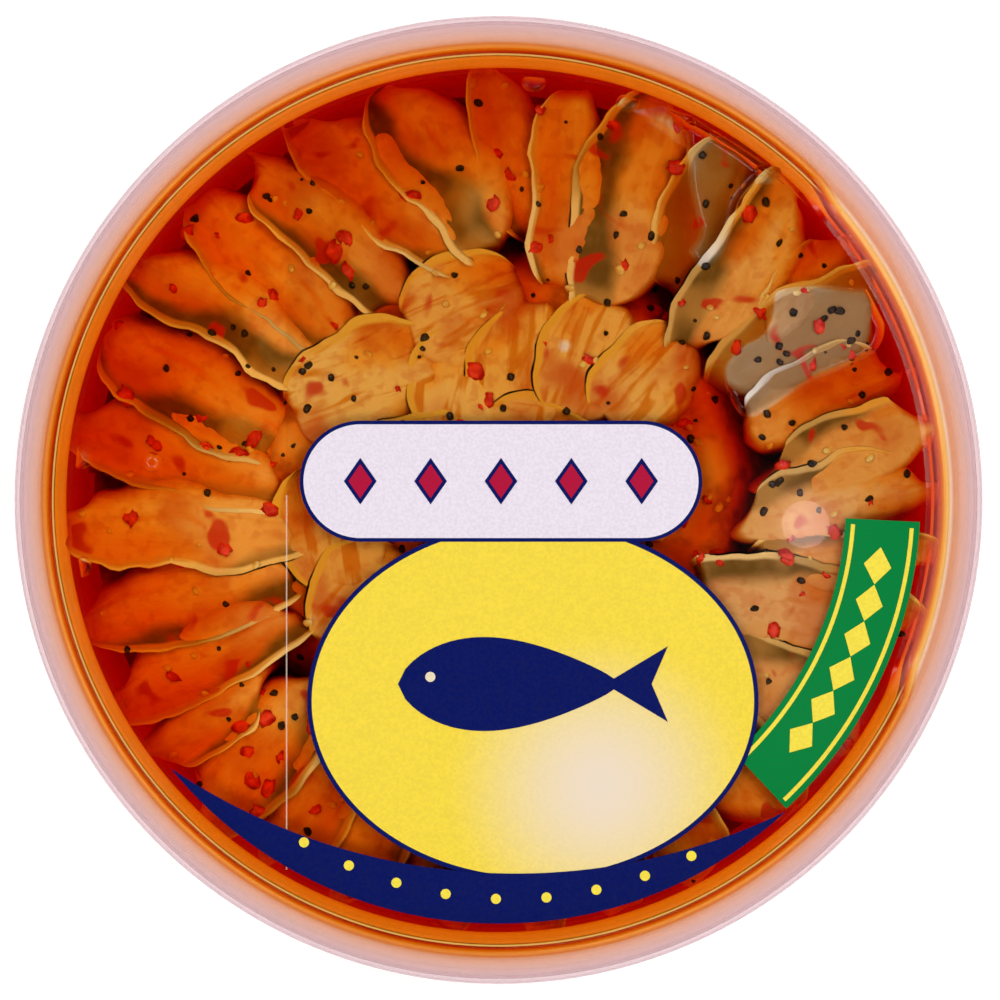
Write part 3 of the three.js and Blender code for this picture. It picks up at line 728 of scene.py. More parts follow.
# How far the contents may reach from the axis.
def roomRadius(z):
    cornerTop = contents["floor"] + contents["wallRound"]
    drop = np.clip((cornerTop - z) / contents["wallRound"], 0, 1)
    straight = tubInnerRadius(np.maximum(z, cornerTop)) - contents["gap"]
    return straight - contents["wallRound"] * (1 - np.sqrt(1 - drop * drop))


def noiseAt(points, scale, seed):
    offset = Vector((seed * 7.3, seed * 3.1, seed * 5.7))
    return np.array([noise.noise(Vector(point) * scale + offset) for point in points])


# One fillet as points, faces and the values its material reads. Each point has its place along the length
# in s, from -1 at the inner end, and across and rise from the section; u and v are its places along and
# across in millimetres.
def filletMesh(fillet, index):
    shape = filletShape
    loop = smoothLoop(filletSection, shape["sectionSteps"])
    count, stations = len(loop), shape["stations"]

    def waves(kind, *place):
        scale, seed = filletNoise[kind]
        return noiseAt(np.stack(place, 1), scale, index + seed)

    along = np.sin(np.linspace(-math.pi / 2, math.pi / 2, stations + 2)[1:-1])
    along = np.sign(along) * np.abs(along) ** shape["crowding"]
    girths = []
    for side in (0, 1):
        blunt = np.where(along > 0, shape["blunt"]["outer"][side], shape["blunt"]["inner"][side])
        girths.append((1 - np.abs(along) ** blunt) ** (1 / blunt))
    fall = shape["endDrop"] * np.abs(along) ** 4 + shape["endFall"] * np.abs(along) ** 24
    low, top = contents["floor"], contents["top"] - fillet["drop"] * contents["dropShare"]
    s = np.repeat(along, count)
    across = np.tile(loop[:, 0], stations)
    rise = np.tile(loop[:, 1], stations)
    halfWidth = fillet["width"] / 2 * fillet.get("widthShare", shape["widthShare"])
    girth = np.where(across > 0, np.repeat(girths[0], count), np.repeat(girths[1], count))
    width = halfWidth * girth * (1 - fillet["taper"] * s)
    height = (top - low) * (1 - np.repeat(fall, count)) * rise
    tipped = fillet["slope"] * (s + 1) / 2 + fillet.get("roll", 0) * (1 - across) / 2
    z = low + height + (fillet["tilt"] * s - tipped) * rise
    skew = fillet.get("skew", 0) * shape["skew"] * np.sign(s)
    u = fillet["length"] / 2 * s + skew * across * np.abs(s) ** 3
    v = width * across + fillet["bow"] * (1 - s * s) + fillet["lean"] * (z - top) / (top - low)

    # Dents, fine grooves, a crease and a lift at the inner end, all on the upper part only.
    folded = (u, v * 1.4, z * 0.4)
    dent = waves("dent", *folded) + shape["smallDent"] * waves("smallDent", *folded)
    grooved = u + shape["grooveSlant"] * np.abs(v) + shape["grooveWander"] * waves("groove", *folded)
    flesh = 1 - smoothStep(0.3, 0.6, across)
    groove = shape["groove"] * flesh * np.sin(grooved * 2 * math.pi / shape["grooveSpacing"])
    line = shape["creaseMiddle"] + shape["creaseWander"] * waves("creasePlace", u, 0 * u, 0 * u)
    crease = np.exp(-((across - line) * halfWidth / shape["creaseWidth"]) ** 2)
    crease = crease * smoothStep(-0.1, 0.35, waves("creaseDepth", u, 0 * u, 0 * u))
    endLift = shape["endLift"] * (1 + fillet.get("pale", 0)) * smoothStep(0.3, -0.7, s)
    lift = fillet.get("lift", 0) + endLift
    z += smoothStep(0.45, 0.95, rise) * (shape["dent"] * dent + groove - shape["crease"] * crease + lift)

    # A sway along the length, ragged sides and ragged ends.
    sway = waves("sway", along * fillet["length"], 0 * along, 0 * along)
    v += shape["sway"] * np.repeat(sway, count) * (1 - s * s)
    v += shape["ragged"] * waves("side", u, 3 * np.sign(across), 0 * u) * across ** 4
    u += shape["raggedTip"] * waves("tip", v, 3 * np.sign(s), 0 * u) * np.abs(s) ** 6
    z = np.minimum(z, contents["cap"] - fillet["capDrop"] - contents["capStep"] * (index * 7 % 11))
    turn = math.radians(fillet["turn"])
    x = fillet["x"] + u * math.cos(turn) - v * math.sin(turn)
    y = fillet["y"] + u * math.sin(turn) + v * math.cos(turn)
    inside = np.minimum(1, roomRadius(z) / np.hypot(x, y))
    points = np.stack([x * inside, y * inside, z], 1)
    ends = [points[:count].mean(0), points[-count:].mean(0)]
    faces = []
    for station in range(stations - 1):
        faces += bandFaces(station * count, (station + 1) * count, count)
    last = (stations - 1) * count
    for step in range(count):
        after = (step + 1) % count
        faces.append((len(points), after, step))
        faces.append((len(points) + 1, last + step, last + after))
    values = {"across": across, "rise": rise, "along": s, "grainU": u, "grainV": v}
    endValues = {"rise": (0.5, 0.5), "along": (-1, 1)}
    values = {key: np.append(value, endValues.get(key, (0.0, 0.0))) for key, value in values.items()}
    return np.vstack([points, ends]), faces, values


# 1 under a large air bubble, where little oil covers the flesh, and 0 from its outline outwards.
def underBubble(points):
    x, y = points[:, 0], points[:, 1]
    share = np.zeros(len(points))
    for corners in largeBubbles:
        inside = np.zeros(len(points), bool)
        nearest = np.full(len(points), np.inf)
        for (x0, y0), (x1, y1) in zip(corners, corners[1:] + corners[:1]):
            run, rise = x1 - x0, y1 - y0
            if rise:
                inside ^= ((y0 > y) != (y1 > y)) & (x < x0 + (y - y0) * run / rise)
            along = np.clip(((x - x0) * run + (y - y0) * rise) / (run * run + rise * rise), 0, 1)
            nearest = np.minimum(nearest, np.hypot(x - x0 - along * run, y - y0 - along * rise))
        share = np.maximum(share, inside * smoothStep(0, filletShape["dryBorder"], nearest))
    return share


def heapOfFillets(name, fillets, material):
    points, faces, values, start = [], [], {}, 0
    toneRandom = seededRandom(71)
    for index, fillet in enumerate(fillets):
        morePoints, moreFaces, moreValues = filletMesh(fillet, index)
        points.append(morePoints)
        faces.extend(tuple(start + vertex for vertex in face) for face in moreFaces)
        start += len(morePoints)
        looks = {"tone": next(toneRandom)}
        looks.update({key: fillet.get(key, plain) for key, plain in plainLook.items()})
        moreValues.update({key: np.full(len(morePoints), value) for key, value in looks.items()})
        for key, more in moreValues.items():
            values.setdefault(key, []).append(more)
    values["dry"] = [underBubble(np.vstack(points))]
    heap = addMesh(name, np.vstack(points), faces, material)
    for key, lists in values.items():
        attribute = heap.data.attributes.new(key, "FLOAT", "POINT")
        attribute.data.foreach_set("value", np.concatenate(lists).astype(np.float32))
    return heap


# A fade goes from its first value to its second, and may say what it gives there: 0 and 1 if it doesn't.
# fibre and streaks are noises drawn out along a fillet: scale along it and across it, step from one fillet
# to the next, and distortion.
fleshLook = {
    "outer": (0.98, 0.58, 0.15, 1), "inner": (0.92, 0.43, 0.13, 1), "pale": (0.95, 0.72, 0.50, 1),
    "pink": (0.88, 0.60, 0.50, 1), "grey": (0.40, 0.20, 0.075, 1), "deep": (0.64, 0.12, 0.02, 1),
    "skin": (0.17, 0.105, 0.035, 1), "silver": (0.50, 0.33, 0.19, 1), "lip": (0.99, 0.88, 0.80, 1),
    "lipOuterHighlight": (0.92, 0.58, 0.20, 1), "chili": (0.62, 0.012, 0.006, 1), "streak": (0.76, 0.33, 0.02, 1),
    "dry": (0.35, 0.18, 0.07, 1), "fibre": (0.3, 2.2, 60, 0.6), "streaks": (0.12, 0.6, 35, 0.5),
    "broadScale": 110, "fineScale": 620, "chiliScale": 190, "lipScale": 70, "wobble": 0.9,
    "inwardFade": (0.5, -0.8), "paleFade": (0, 1, 0.7, 0.9), "fibreFade": (0.5, 0.75, 0, 0.3),
    "streakFade": (0.5, 0.36, 0, 0.3), "deepFade": (0.55, 0.3, 0, 0.55), "toneFade": (0.45, 1, 0, 0.18),
    "speckFade": (0.5, 0.36, 0, 0.3), "upperFade": (0.6, 0.86), "skinBorder": 0.86, "skinWidening": 0.45,
    "skinFade": (0, 0.42), "silverFade": (0.56, 0.76), "silverGlints": (0.45, 0.75, 0, 0.2),
    "dryFade": (0.35, 0.65, 0.9, 0.6), "chiliFade": (0.64, 0.72, 0, 0.85), "lipInward": (0.35, -0.35),
    "lipAcross": (0.79, 0.87), "lipRise": (0.925, 0.95), "lipPatches": (0.3, 0.5, 0.55, 1),
    "sideShadeFade": (0.93, 0.5, 0, 0.8), "roughness": (0, 1, 0.5, 0.28)}
# The centre fillets' lips take a golden painted highlight.
goldenLipHighlight = (0.90, 0.62, 0.16, 1)
paleLook = {**fleshLook, "lip": goldenLipHighlight, "lipOuterHighlight": goldenLipHighlight, "pale": (1.0, 0.88, 0.64, 1),
            "deepFade": (0.55, 0.3, 0, 0.85), "streakFade": (0.5, 0.36, 0, 0.95),
            "fibreFade": (0.5, 0.75, 0, 0.55)}


def grainNoise(tree, alongScale, acrossScale, step, distortion):
    scales = {"grainU": alongScale, "grainV": acrossScale, "tone": step}
    parts = [product(tree, readAttribute(tree, key), scale) for key, scale in scales.items()]
    place = addNode(tree, "ShaderNodeCombineXYZ", enumerate(parts)).outputs[0]
    return noiseTexture(tree, place, 1.0, 2, distortion)


def fleshMaterial(name, look):
    material, tree = newMaterial(name)
    place = objectPlace(tree)
    across, along, rise, tone, grey = (
        readAttribute(tree, key) for key in ("across", "along", "rise", "tone", "grey"))
    broad = noiseTexture(tree, place, look["broadScale"], 2)
    fine = noiseTexture(tree, place, look["fineScale"], 2)
    fibre = grainNoise(tree, *look["fibre"])
    streaks = grainNoise(tree, *look["streaks"])
    wobble = maths(tree, "MULTIPLY_ADD", broad, look["wobble"], -0.5 * look["wobble"])

    def fade(value, key):
        return spread(tree, value, *look[key])

    inward = fade(maths(tree, "ADD", along, wobble), "inwardFade")
    flesh = mixColour(tree, inward, look["outer"], look["inner"])
    paleShare = product(tree, readAttribute(tree, "pale"), fade(inward, "paleFade"))
    flesh = mixColour(tree, paleShare, flesh, look["pale"])
    flesh = mixColour(tree, readAttribute(tree, "pink"), flesh, look["pink"])
    for value, key, tint in (
            (fibre, "fibreFade", "pale"), (streaks, "streakFade", "streak"), (broad, "deepFade", "deep"),
            (tone, "toneFade", "deep"), (fine, "speckFade", "deep")):
        flesh = mixColour(tree, fade(value, key), flesh, look[tint])
    flesh = mixColour(tree, grey, flesh, look["grey"])

    # The skin along one side, broader towards the centre, brown with silver patches whose sheen is painted
    # in as a lighter colour, and fine specks of painted glints.
    upper = fade(rise, "upperFade")
    reach = maths(tree, "MULTIPLY_ADD", along, -look["skinWidening"], readAttribute(tree, "skin"))
    border = difference(tree, look["skinBorder"], reach)
    beyond = difference(tree, maths(tree, "ADD", across, wobble), border)
    skinMask = product(tree, fade(beyond, "skinFade"), upper)
    silver = fade(difference(tree, broad, product(tree, along, 0.2)), "silverFade")
    skin = mixColour(tree, maths(tree, "MAXIMUM", silver, grey), look["skin"], look["silver"])
    skin = mixColour(tree, fade(fine, "silverGlints"), skin, look["silver"])
    colour = mixColour(tree, skinMask, flesh, skin)

    # Flesh under a bubble, patches of chili oil, the lip with its painted highlight, and painted shade on
    # the sides below the top, down in the gaps between fillets.
    dryShare = product(tree, readAttribute(tree, "dry"), fade(broad, "dryFade"))
    colour = mixColour(tree, dryShare, colour, look["dry"])
    red = fade(noiseTexture(tree, place, look["chiliScale"], 1, 0.6), "chiliFade")
    colour = mixColour(tree, product(tree, red, upper), colour, look["chili"])
    # The lip's pale line is a painted highlight where the raised edge catches the light, broken into
    # patches.
    lipHighlightColour = mixColour(tree, fade(along, "lipInward"), look["lipOuterHighlight"], look["lip"])
    lip = product(tree, fade(across, "lipAcross"), fade(rise, "lipRise"))
    lip = product(tree, lip, fade(noiseTexture(tree, place, look["lipScale"], 0), "lipPatches"))
    colour = mixColour(tree, lip, colour, lipHighlightColour)
    # Painted shade: the sides below the top take the deep colour, which on the tops is the flesh's own red
    # mottling.
    colour = mixColour(tree, fade(rise, "sideShadeFade"), colour, look["deep"])

    height = maths(tree, "MULTIPLY_ADD", fibre, 0.6, product(tree, fine, 0.4))
    shaded(tree, {"Base Color": colour, "Roughness": fade(skinMask, "roughness"),
                  "Specular IOR Level": 0.25, "Normal": bumped(tree, height, 0.3, 0.0004)})
    return material


def fillHeaps():
    slopeRandom = seededRandom(9)
    ring = []
    for *numbers, looks in ringFillets:
        slope = filletShape["slope"] + filletShape["slopeSpread"] * next(slopeRandom)
        capDrop = contents["ringCapDrop"] - contents["pinkCapRise"] * looks.get("pink", 0)
        ring.append({"slope": slope, "skew": 2 * next(slopeRandom) - 1, "capDrop": capDrop,
                     **placedRing(numbers), **looks})
    centre = [{**placedCentre(numbers), **centreLook} for numbers in centreFillets]
    ringHeap = heapOfFillets("ringFillets", ring, fleshMaterial("filletFlesh", fleshLook))
    centreHeap = heapOfFillets("centreFillets", centre, fleshMaterial("paleFlesh", paleLook))
    finished(ringHeap, "fillet_flesh", "ring_fillets")
    finished(centreHeap, "pale_flesh", "centre_fillets")
    return ringHeap, centreHeap


ringHeap, centreHeap = fillHeaps()
print("fillets ready", len(ringHeap.data.polygons), len(centreHeap.data.polygons))


# What lies deeper between the fillets: loose flesh under the oil, as one lumpy bed

# It's higher in the middle; lumps are given as scale and height.
bedShape = {"radius": 50, "lowRadius": 46.5, "floor": 1.3, "top": 15.5, "middleTop": 24.9, "middleFrom": 36,
            "middleTo": 27, "segments": 96, "rings": 32, "lumps": (0.16, 3.2), "smallLumps": (0.5, 0.8)}
bedLook = {"dark": (0.28, 0.05, 0.02, 1), "bright": (0.85, 0.30, 0.10, 1), "middle": fleshLook["inner"],
           "middleFrom": 34, "middleTo": 26, "lumps": 240}


def bedOfFlesh():
    turns = evenTurns(bedShape["segments"])
    points = [(0, 0, bedShape["floor"]), (0, 0, bedShape["top"])]
    for ring in range(bedShape["rings"]):
        radius = bedShape["radius"] * (ring + 1) / bedShape["rings"]
        points.extend((*polar(radius, turn), bedShape["top"]) for turn in turns)
    points = np.array(points)
    (lumpScale, lumpHeight), (smallScale, smallHeight) = bedShape["lumps"], bedShape["smallLumps"]
    bumps = noiseAt(points, lumpScale, 3) * lumpHeight + noiseAt(points, smallScale, 4) * smallHeight
    distance = np.hypot(points[1:, 0], points[1:, 1])
    middle = smoothStep(bedShape["middleFrom"], bedShape["middleTo"], distance)
    points[1:, 2] += bumps[1:] * (1 - 0.5 * middle) + (bedShape["middleTop"] - bedShape["top"]) * middle
    base = len(points)
    low = [(*polar(bedShape["lowRadius"], turn), bedShape["floor"]) for turn in turns]
    points = np.vstack([points, low])
    faces = []
    count = bedShape["segments"]
    outer = 2 + (bedShape["rings"] - 1) * count
    for step in range(count):
        after = (step + 1) % count
        faces.append((1, 2 + step, 2 + after))
        faces.append((0, base + after, base + step))
        faces.append((outer + step, base + step, base + after, outer + after))
        for near in range(2, outer, count):
            faces.append((near + step, near + count + step, near + count + after, near + after))
    return addMesh("fleshBed", points, faces)


def bedMaterial(look):
    material, tree = newMaterial("bedFlesh")
    place = objectPlace(tree)
    lumps = noiseTexture(tree, place, look["lumps"], 4)
    colour = mixColour(tree, spread(tree, lumps, 0.35, 0.65), look["dark"], look["bright"])
    inwards = spread(tree, axisDistance(tree, place), look["middleFrom"] * mm, look["middleTo"] * mm)
    share = product(tree, inwards, spread(tree, lumps, 0.3, 0.6, 0.3, 1))
    colour = mixColour(tree, share, colour, look["middle"])
    shaded(tree, {"Base Color": colour, "Roughness": 0.6, "Specular IOR Level": 0.2,
                  "Normal": bumped(tree, lumps, 0.4, 0.0006)})
    return material


bed = bedOfFlesh()
bed.data.materials.append(bedMaterial(bedLook))
finished(bed, "fillet_flesh")
print("bed ready")


# The seasoning: cracked pepper, chili flakes and seeds, scattered over the fillets

seasonings = {
    "pepper": {"size": 1.05, "stretch": (1.0, 0.8, 0.75), "rough": 0.34, "smallest": 0.55, "largest": 1.25,
               "perSquareMetre": 17000, "seed": 5, "sink": 0.1, "material": "crackedPepper",
               "dark": (0.006, 0.004, 0.003, 1), "bright": (0.05, 0.025, 0.015, 1), "roughness": 0.55,
               "patches": 1400},
    "chili": {"size": 2.3, "stretch": (1.0, 0.7, 0.22), "rough": 0.4, "smallest": 0.4, "largest": 1.2,
              "perSquareMetre": 13000, "seed": 11, "sink": 0.05, "material": "chiliFlake",
              "dark": (0.60, 0.008, 0.004, 1), "bright": (0.95, 0.05, 0.02, 1), "roughness": 0.35,
              "patches": 900},
    "seed": {"size": 1.3, "stretch": (1.0, 0.8, 0.3), "rough": 0.12, "smallest": 0.6, "largest": 1.15,
             "perSquareMetre": 9000, "seed": 23, "sink": 0.0, "material": "chiliSeed",
             "dark": (0.75, 0.42, 0.12, 1), "bright": (0.95, 0.78, 0.38, 1), "roughness": 0.45,
             "patches": 900},
}
# What they're scattered on, with the share of their density there, and the lowest level that gets any.
grounds = {"Ring": (ringHeap, 1.0, 20), "Centre": (centreHeap, 0.6, 22), "Bed": (bed, 1.5, 12)}
placedPeppers = [
    (25.0, 42.4), (32.7, 36.5), (34.4, 31.5), (35.3, 17.9), (36.2, 23.0), (39.9, 22.3), (41.8, 23.1),
    (47.7, 15.6), (44.5, 12.9), (32.3, 7.7), (38.4, 4.5), (25.5, 20.1), (19.1, 25.8), (18.6, 23.6),
    (-27.5, -23.7), (-26.6, -27.6), (-24.9, -26.5), (-36.6, -34.8)]
placedChili = [(30.6, 35.1), (-18.7, 32.0), (-19.9, 30.4), (40.4, -24.4), (-28.4, -26.8), (-30.3, -34.1),
               (-2.9, 15.8)]


def grainMaterial(look):
    material, tree = newMaterial(look["material"])
    patches = noiseTexture(tree, objectPlace(tree), look["patches"], 3)
    colour = mixColour(tree, spread(tree, patches, 0.35, 0.68), look["dark"], look["bright"])
    shaded(tree, {"Base Color": colour, "Roughness": look["roughness"], "Specular IOR Level": 0.35,
                  "Normal": bumped(tree, patches, 0.5, 0.0003)})
    return material


grainMaterials = {kind: grainMaterial(look) for kind, look in seasonings.items()}


# A few rough grains of one kind, each a pinched and dented ball.
def grainVariants(kind, look, count=4):
    holder = bpy.data.collections.new(kind + "Grains")
    for variant in range(count):
        grain = bmesh.new()
        bmesh.ops.create_icosphere(grain, subdivisions=2, radius=look["size"] / 2)
        offset = Vector((variant * 9.1, look["seed"] * 2.3, 4.7))
        for vertex in grain.verts:
            push = 1 + look["rough"] * noise.noise(vertex.co * 1.6 + offset) * 1.8
            vertex.co = Vector(part * push * stretch for part, stretch in zip(vertex.co, look["stretch"]))
            vertex.co.z += look["rough"] * 0.5 * noise.noise(vertex.co * 0.9 + offset)
            vertex.co *= mm
        mesh = bpy.data.meshes.new(f"{kind}Grain{variant}")
        grain.to_mesh(mesh)
        grain.free()
        mesh.shade_smooth()
        mesh.materials.append(grainMaterials[kind])
        holder.objects.link(bpy.data.objects.new(mesh.name, mesh))
    return holder


# A tree that scatters grains over the upper faces of the ground object.
def scatterTree():
    tree = bpy.data.node_groups.new("scatterGrains", "GeometryNodeTree")
    kinds = {"Ground": "Object", "Grains": "Collection", "Finish": "Material", "Per square metre": "Float",
             "Smallest": "Float", "Largest": "Float", "Seed": "Int", "Lowest": "Float", "Sink": "Float"}
    tree.interface.new_socket("Geometry", in_out="OUTPUT", socket_type="NodeSocketGeometry")
    names = {}
    for label, kind in kinds.items():
        socket = tree.interface.new_socket(label, in_out="INPUT", socket_type="NodeSocket" + kind)
        names[label] = socket.identifier
    given = tree.nodes.new("NodeGroupInput").outputs
    ground = addNode(tree, "GeometryNodeObjectInfo", {"Object": given["Ground"]}).outputs["Geometry"]
    up, level = (addNode(tree, "ShaderNodeSeparateXYZ", {0: tree.nodes.new(kind).outputs[0]}).outputs[2]
                 for kind in ("GeometryNodeInputNormal", "GeometryNodeInputPosition"))
    facesUp, high = (
        addNode(tree, "FunctionNodeCompare", {0: value, 1: limit}, operation="GREATER_THAN").outputs[0]
        for value, limit in ((up, 0.6), (level, given["Lowest"])))
    chosen = addNode(tree, "FunctionNodeBooleanMath", {0: facesUp, 1: high}, operation="AND").outputs[0]
    points = addNode(tree, "GeometryNodeDistributePointsOnFaces", {
        "Mesh": ground, "Selection": chosen, "Density": given["Per square metre"], "Seed": given["Seed"]})
    turned = addNode(tree, "FunctionNodeRandomValue", {
        "Min": (-0.5, -0.5, 0.0), "Max": (0.5, 0.5, 6.283), "Seed": given["Seed"]}, data_type="FLOAT_VECTOR")
    sized = addNode(tree, "FunctionNodeRandomValue", {
        2: given["Smallest"], 3: given["Largest"], "Seed": given["Seed"]}, data_type="FLOAT")
    grains = addNode(tree, "GeometryNodeCollectionInfo", {
        "Collection": given["Grains"], "Separate Children": True, "Reset Children": True})
    stood = addNode(tree, "GeometryNodeInstanceOnPoints", {
        "Points": points.outputs["Points"], "Instance": grains.outputs[0], "Pick Instance": True,
        "Rotation": turned.outputs[0], "Scale": sized.outputs[1]})
    down = addNode(tree, "ShaderNodeCombineXYZ", {2: product(tree, given["Sink"], -1.0)}).outputs[0]
    moved = addNode(tree, "GeometryNodeTranslateInstances", {
        "Instances": stood.outputs[0], "Translation": down, "Local Space": False})
    real = addNode(tree, "GeometryNodeRealizeInstances", {"Geometry": moved.outputs[0]})
    coated = addNode(tree, "GeometryNodeSetMaterial", {
        "Geometry": real.outputs[0], "Material": given["Finish"]})
    output = tree.nodes.new("NodeGroupOutput")
    tree.links.new(coated.outputs[0], output.inputs[0])
    return tree, names


scatterGrains, scatterNames = scatterTree()


def scattered(name, kind, ground, share, lowest):
    look = seasonings[kind]
    holder = addObject(name + "Source", bpy.data.meshes.new(name + "Source"))
    modifier = holder.modifiers.new("scatter", "NODES")
    modifier.node_group = scatterGrains
    values = {"Ground": ground, "Grains": grainVariants(kind, look), "Finish": grainMaterials[kind],
              "Per square metre": look["perSquareMetre"] * share, "Smallest": look["smallest"],
              "Largest": look["largest"], "Seed": look["seed"], "Lowest": lowest * mm,
              "Sink": look["sink"] * mm}
    for label, value in values.items():
        modifier[scatterNames[label]] = value
    return finished(bakeModifiers(holder, name), "fillet_flesh")


# Grains set where a straight drop from above meets the fillets.
def placedGrains(name, kind, places, scale):
    graph = bpy.context.evaluated_depsgraph_get()
    finders = [BVHTree.FromObject(ground, graph) for ground, _, _ in grounds.values()]
    variants = list(grainVariants(kind, seasonings[kind]).objects)
    turns = seededRandom(seasonings[kind]["seed"])
    whole = bmesh.new()
    for index, (x, y) in enumerate(places):
        hits = [finder.ray_cast(Vector((x, y, 40)) * mm, Vector((0, 0, -1)))[0] for finder in finders]
        level = max(hit.z for hit in hits if hit)
        start = len(whole.verts)
        whole.from_mesh(variants[index % len(variants)].data)
        turn = Matrix.Rotation(2 * math.pi * next(turns), 4, "Z")
        grow = Matrix.Scale(scale * (0.8 + 0.4 * next(turns)), 4)
        move = Matrix.Translation((x * mm, y * mm, level)) @ (turn @ grow)
        bmesh.ops.transform(whole, matrix=move, verts=list(whole.verts)[start:])
    mesh = bpy.data.meshes.new(name)
    whole.to_mesh(mesh)
    whole.free()
    mesh.shade_smooth()
    finished(addObject(name, mesh, grainMaterials[kind]), "fillet_flesh")


for kind in seasonings:
    for label, ground in grounds.items():
        grains = scattered(kind + label, kind, *ground)
        print(grains.name, len(grains.data.polygons))
placedGrains("placedPepper", "pepper", placedPeppers, 1.1)
placedGrains("placedChili", "chili", placedChili, 1.25)


# The clear film and its print: plain fields in the label's colours, each a thin layer above the last

film = {"level": 27.35, "step": 0.045, "inkShare": 0.9, "bottom": 27.31, "radius": 52.3, "leftEdge": -26.0}
filmEdge = {"top": 0.6, "bottom": -45.2, "width": 0.17, "colour": (0.98, 0.78, 0.62, 1), "alpha": 0.32}
inkColours = {"navy": (0.003, 0.008, 0.11), "yellow": (0.93, 0.70, 0.06), "cream": (0.85, 0.73, 0.50),
              "lilac": (0.84, 0.76, 0.85), "crimson": (0.45, 0.008, 0.045), "green": (0.0, 0.22, 0.045),
              "yellowTrim": (0.93, 0.76, 0.07)}
inkFades = {"yellow": {"colour": (0.84, 0.70, 0.55), "x": 12.5, "y": -35, "reach": 20}}

oval = {"x": 4.2, "y": -24.6, "halfWidth": 27.6, "halfHeight": 22, "outline": 0.55}
plate = {"x": 0.3, "y": 2.3, "halfWidth": 24.6, "halfHeight": 7.4, "outline": 0.45, "diamonds": 5,
         "spacing": 8.6, "diamondWidth": 2.9, "diamondHeight": 4.2, "edgeWidth": 1.1, "edgeHeight": 1.5}
foot = {"radius": 51.8, "innerX": 2.1, "innerY": 29.9, "thickness": 6.2, "dots": 9, "dotRadius": 0.62,
        "dotStep": 7.2, "dotMiddle": -92, "dotDepth": 0.42, "dotX": 1.4, "dotY": 0.4}
band = {"inner": 42.5, "outer": 51.6, "from": -47, "to": -3, "trim": 0.5, "inset": 0.7, "trimStart": 0.6,
        "trimEnd": 0.9, "diamonds": 6, "diamondStart": 6, "diamondEnd": 4, "diamondWidth": 3.4,
        "diamondHeight": 4.6}
fish = {"x": 4.2, "y": -22.5, "length": 33, "height": 11, "bodyLength": 0.8, "eyeX": -0.38, "eyeY": 0.08,
        "eyeRadius": 0.62}


def circlePoints(x, y, radius, start=0, end=345, count=24):
    turns = np.radians(np.linspace(start, end, count))
    return [(x + radius * math.cos(turn), y + radius * math.sin(turn)) for turn in turns]


# Flat shapes of print, all one layer of a piece.
def printedShapes(name, loops, layer, material):
    low = max(film["bottom"], film["level"] + film["step"] * layer)
    high = low + film["step"] * film["inkShare"]
    points, faces = [], []
    for loop in loops:
        start, count = len(points), len(loop)
        points += [(x, y, low) for x, y in loop] + [(x, y, high) for x, y in loop]
        faces.append(tuple(start + index for index in reversed(range(count))))
        faces.append(tuple(start + count + index for index in range(count)))
        faces += bandFaces(start, start + count, count)
    return addMesh(name, points, faces, material, 30)


# Ink with a faint grain; a fade blends it into a second colour round a point.
def inkMaterial(name, colour, fade=None):
    material, tree = newMaterial(name)
    place = objectPlace(tree)
    grain = noiseTexture(tree, place, 2600, 2)
    worn = tuple(0.9 * part + 0.004 for part in colour)
    base = mixColour(tree, spread(tree, grain, 0.3, 0.7), (*colour, 1), (*worn, 1))
    if fade:
        centred = addNode(tree, "ShaderNodeMapping", {
            "Vector": place, "Location": (-fade["x"] * mm, -fade["y"] * mm, 0)}).outputs[0]
        near = spread(tree, axisDistance(tree, centred), 0, fade["reach"] * mm, 1, 0)
        base = mixColour(tree, near, base, (*fade["colour"], 1))
    shaded(tree, {"Base Color": base, "Roughness": 0.14, "Specular IOR Level": 0.3})
    return material


def ellipsePoints(field, shrink=0.0):
    return [(field["x"] + (field["halfWidth"] - shrink) * math.cos(turn),
             field["y"] + (field["halfHeight"] - shrink) * math.sin(turn)) for turn in evenTurns(160)]


def pillPoints(field, shrink=0.0):
    reach = field["halfWidth"] - field["halfHeight"]
    radius = field["halfHeight"] - shrink
    return (circlePoints(field["x"] + reach, field["y"], radius, -90, 90, 40)
            + circlePoints(field["x"] - reach, field["y"], radius, 90, 270, 40))


def diamond(x, y, width, height, turn=0.0):
    cos, sin = math.cos(turn), math.sin(turn)
    corners = [(width / 2, 0), (0, height / 2), (-width / 2, 0), (0, -height / 2)]
    return [(x + u * cos - v * sin, y + u * sin + v * cos) for u, v in corners]


# A crescent between the film's edge and a circle about the inner point.
def footPoints():
    x, y, radius = foot["innerX"], foot["innerY"], foot["radius"]
    reach = math.hypot(x, y)
    innerRadius = radius + reach - foot["thickness"]
    axis = math.atan2(y, x)
    tip = math.acos((radius ** 2 + reach ** 2 - innerRadius ** 2) / (2 * radius * reach))
    outer = circlePoints(0, 0, radius, math.degrees(axis + tip), math.degrees(axis - tip) + 360, 90)
    first, last = (math.degrees(math.atan2(end[1] - y, end[0] - x)) for end in (outer[-1], outer[0]))
    return outer + circlePoints(x, y, innerRadius, first, last, 90)[1:-1]


def footDots():
    middle = foot["radius"] - foot["thickness"] * foot["dotDepth"]
    loops = []
    for index in range(foot["dots"]):
        degrees = foot["dotMiddle"] + foot["dotStep"] * (index - (foot["dots"] - 1) / 2)
        x, y = polar(middle, math.radians(degrees))
        loops.append(circlePoints(x + foot["dotX"], y + foot["dotY"], foot["dotRadius"]))
    return loops


def bandPoints(inner, outer, start, end, count=60):
    return circlePoints(0, 0, outer, start, end, count) + circlePoints(0, 0, inner, end, start, count)


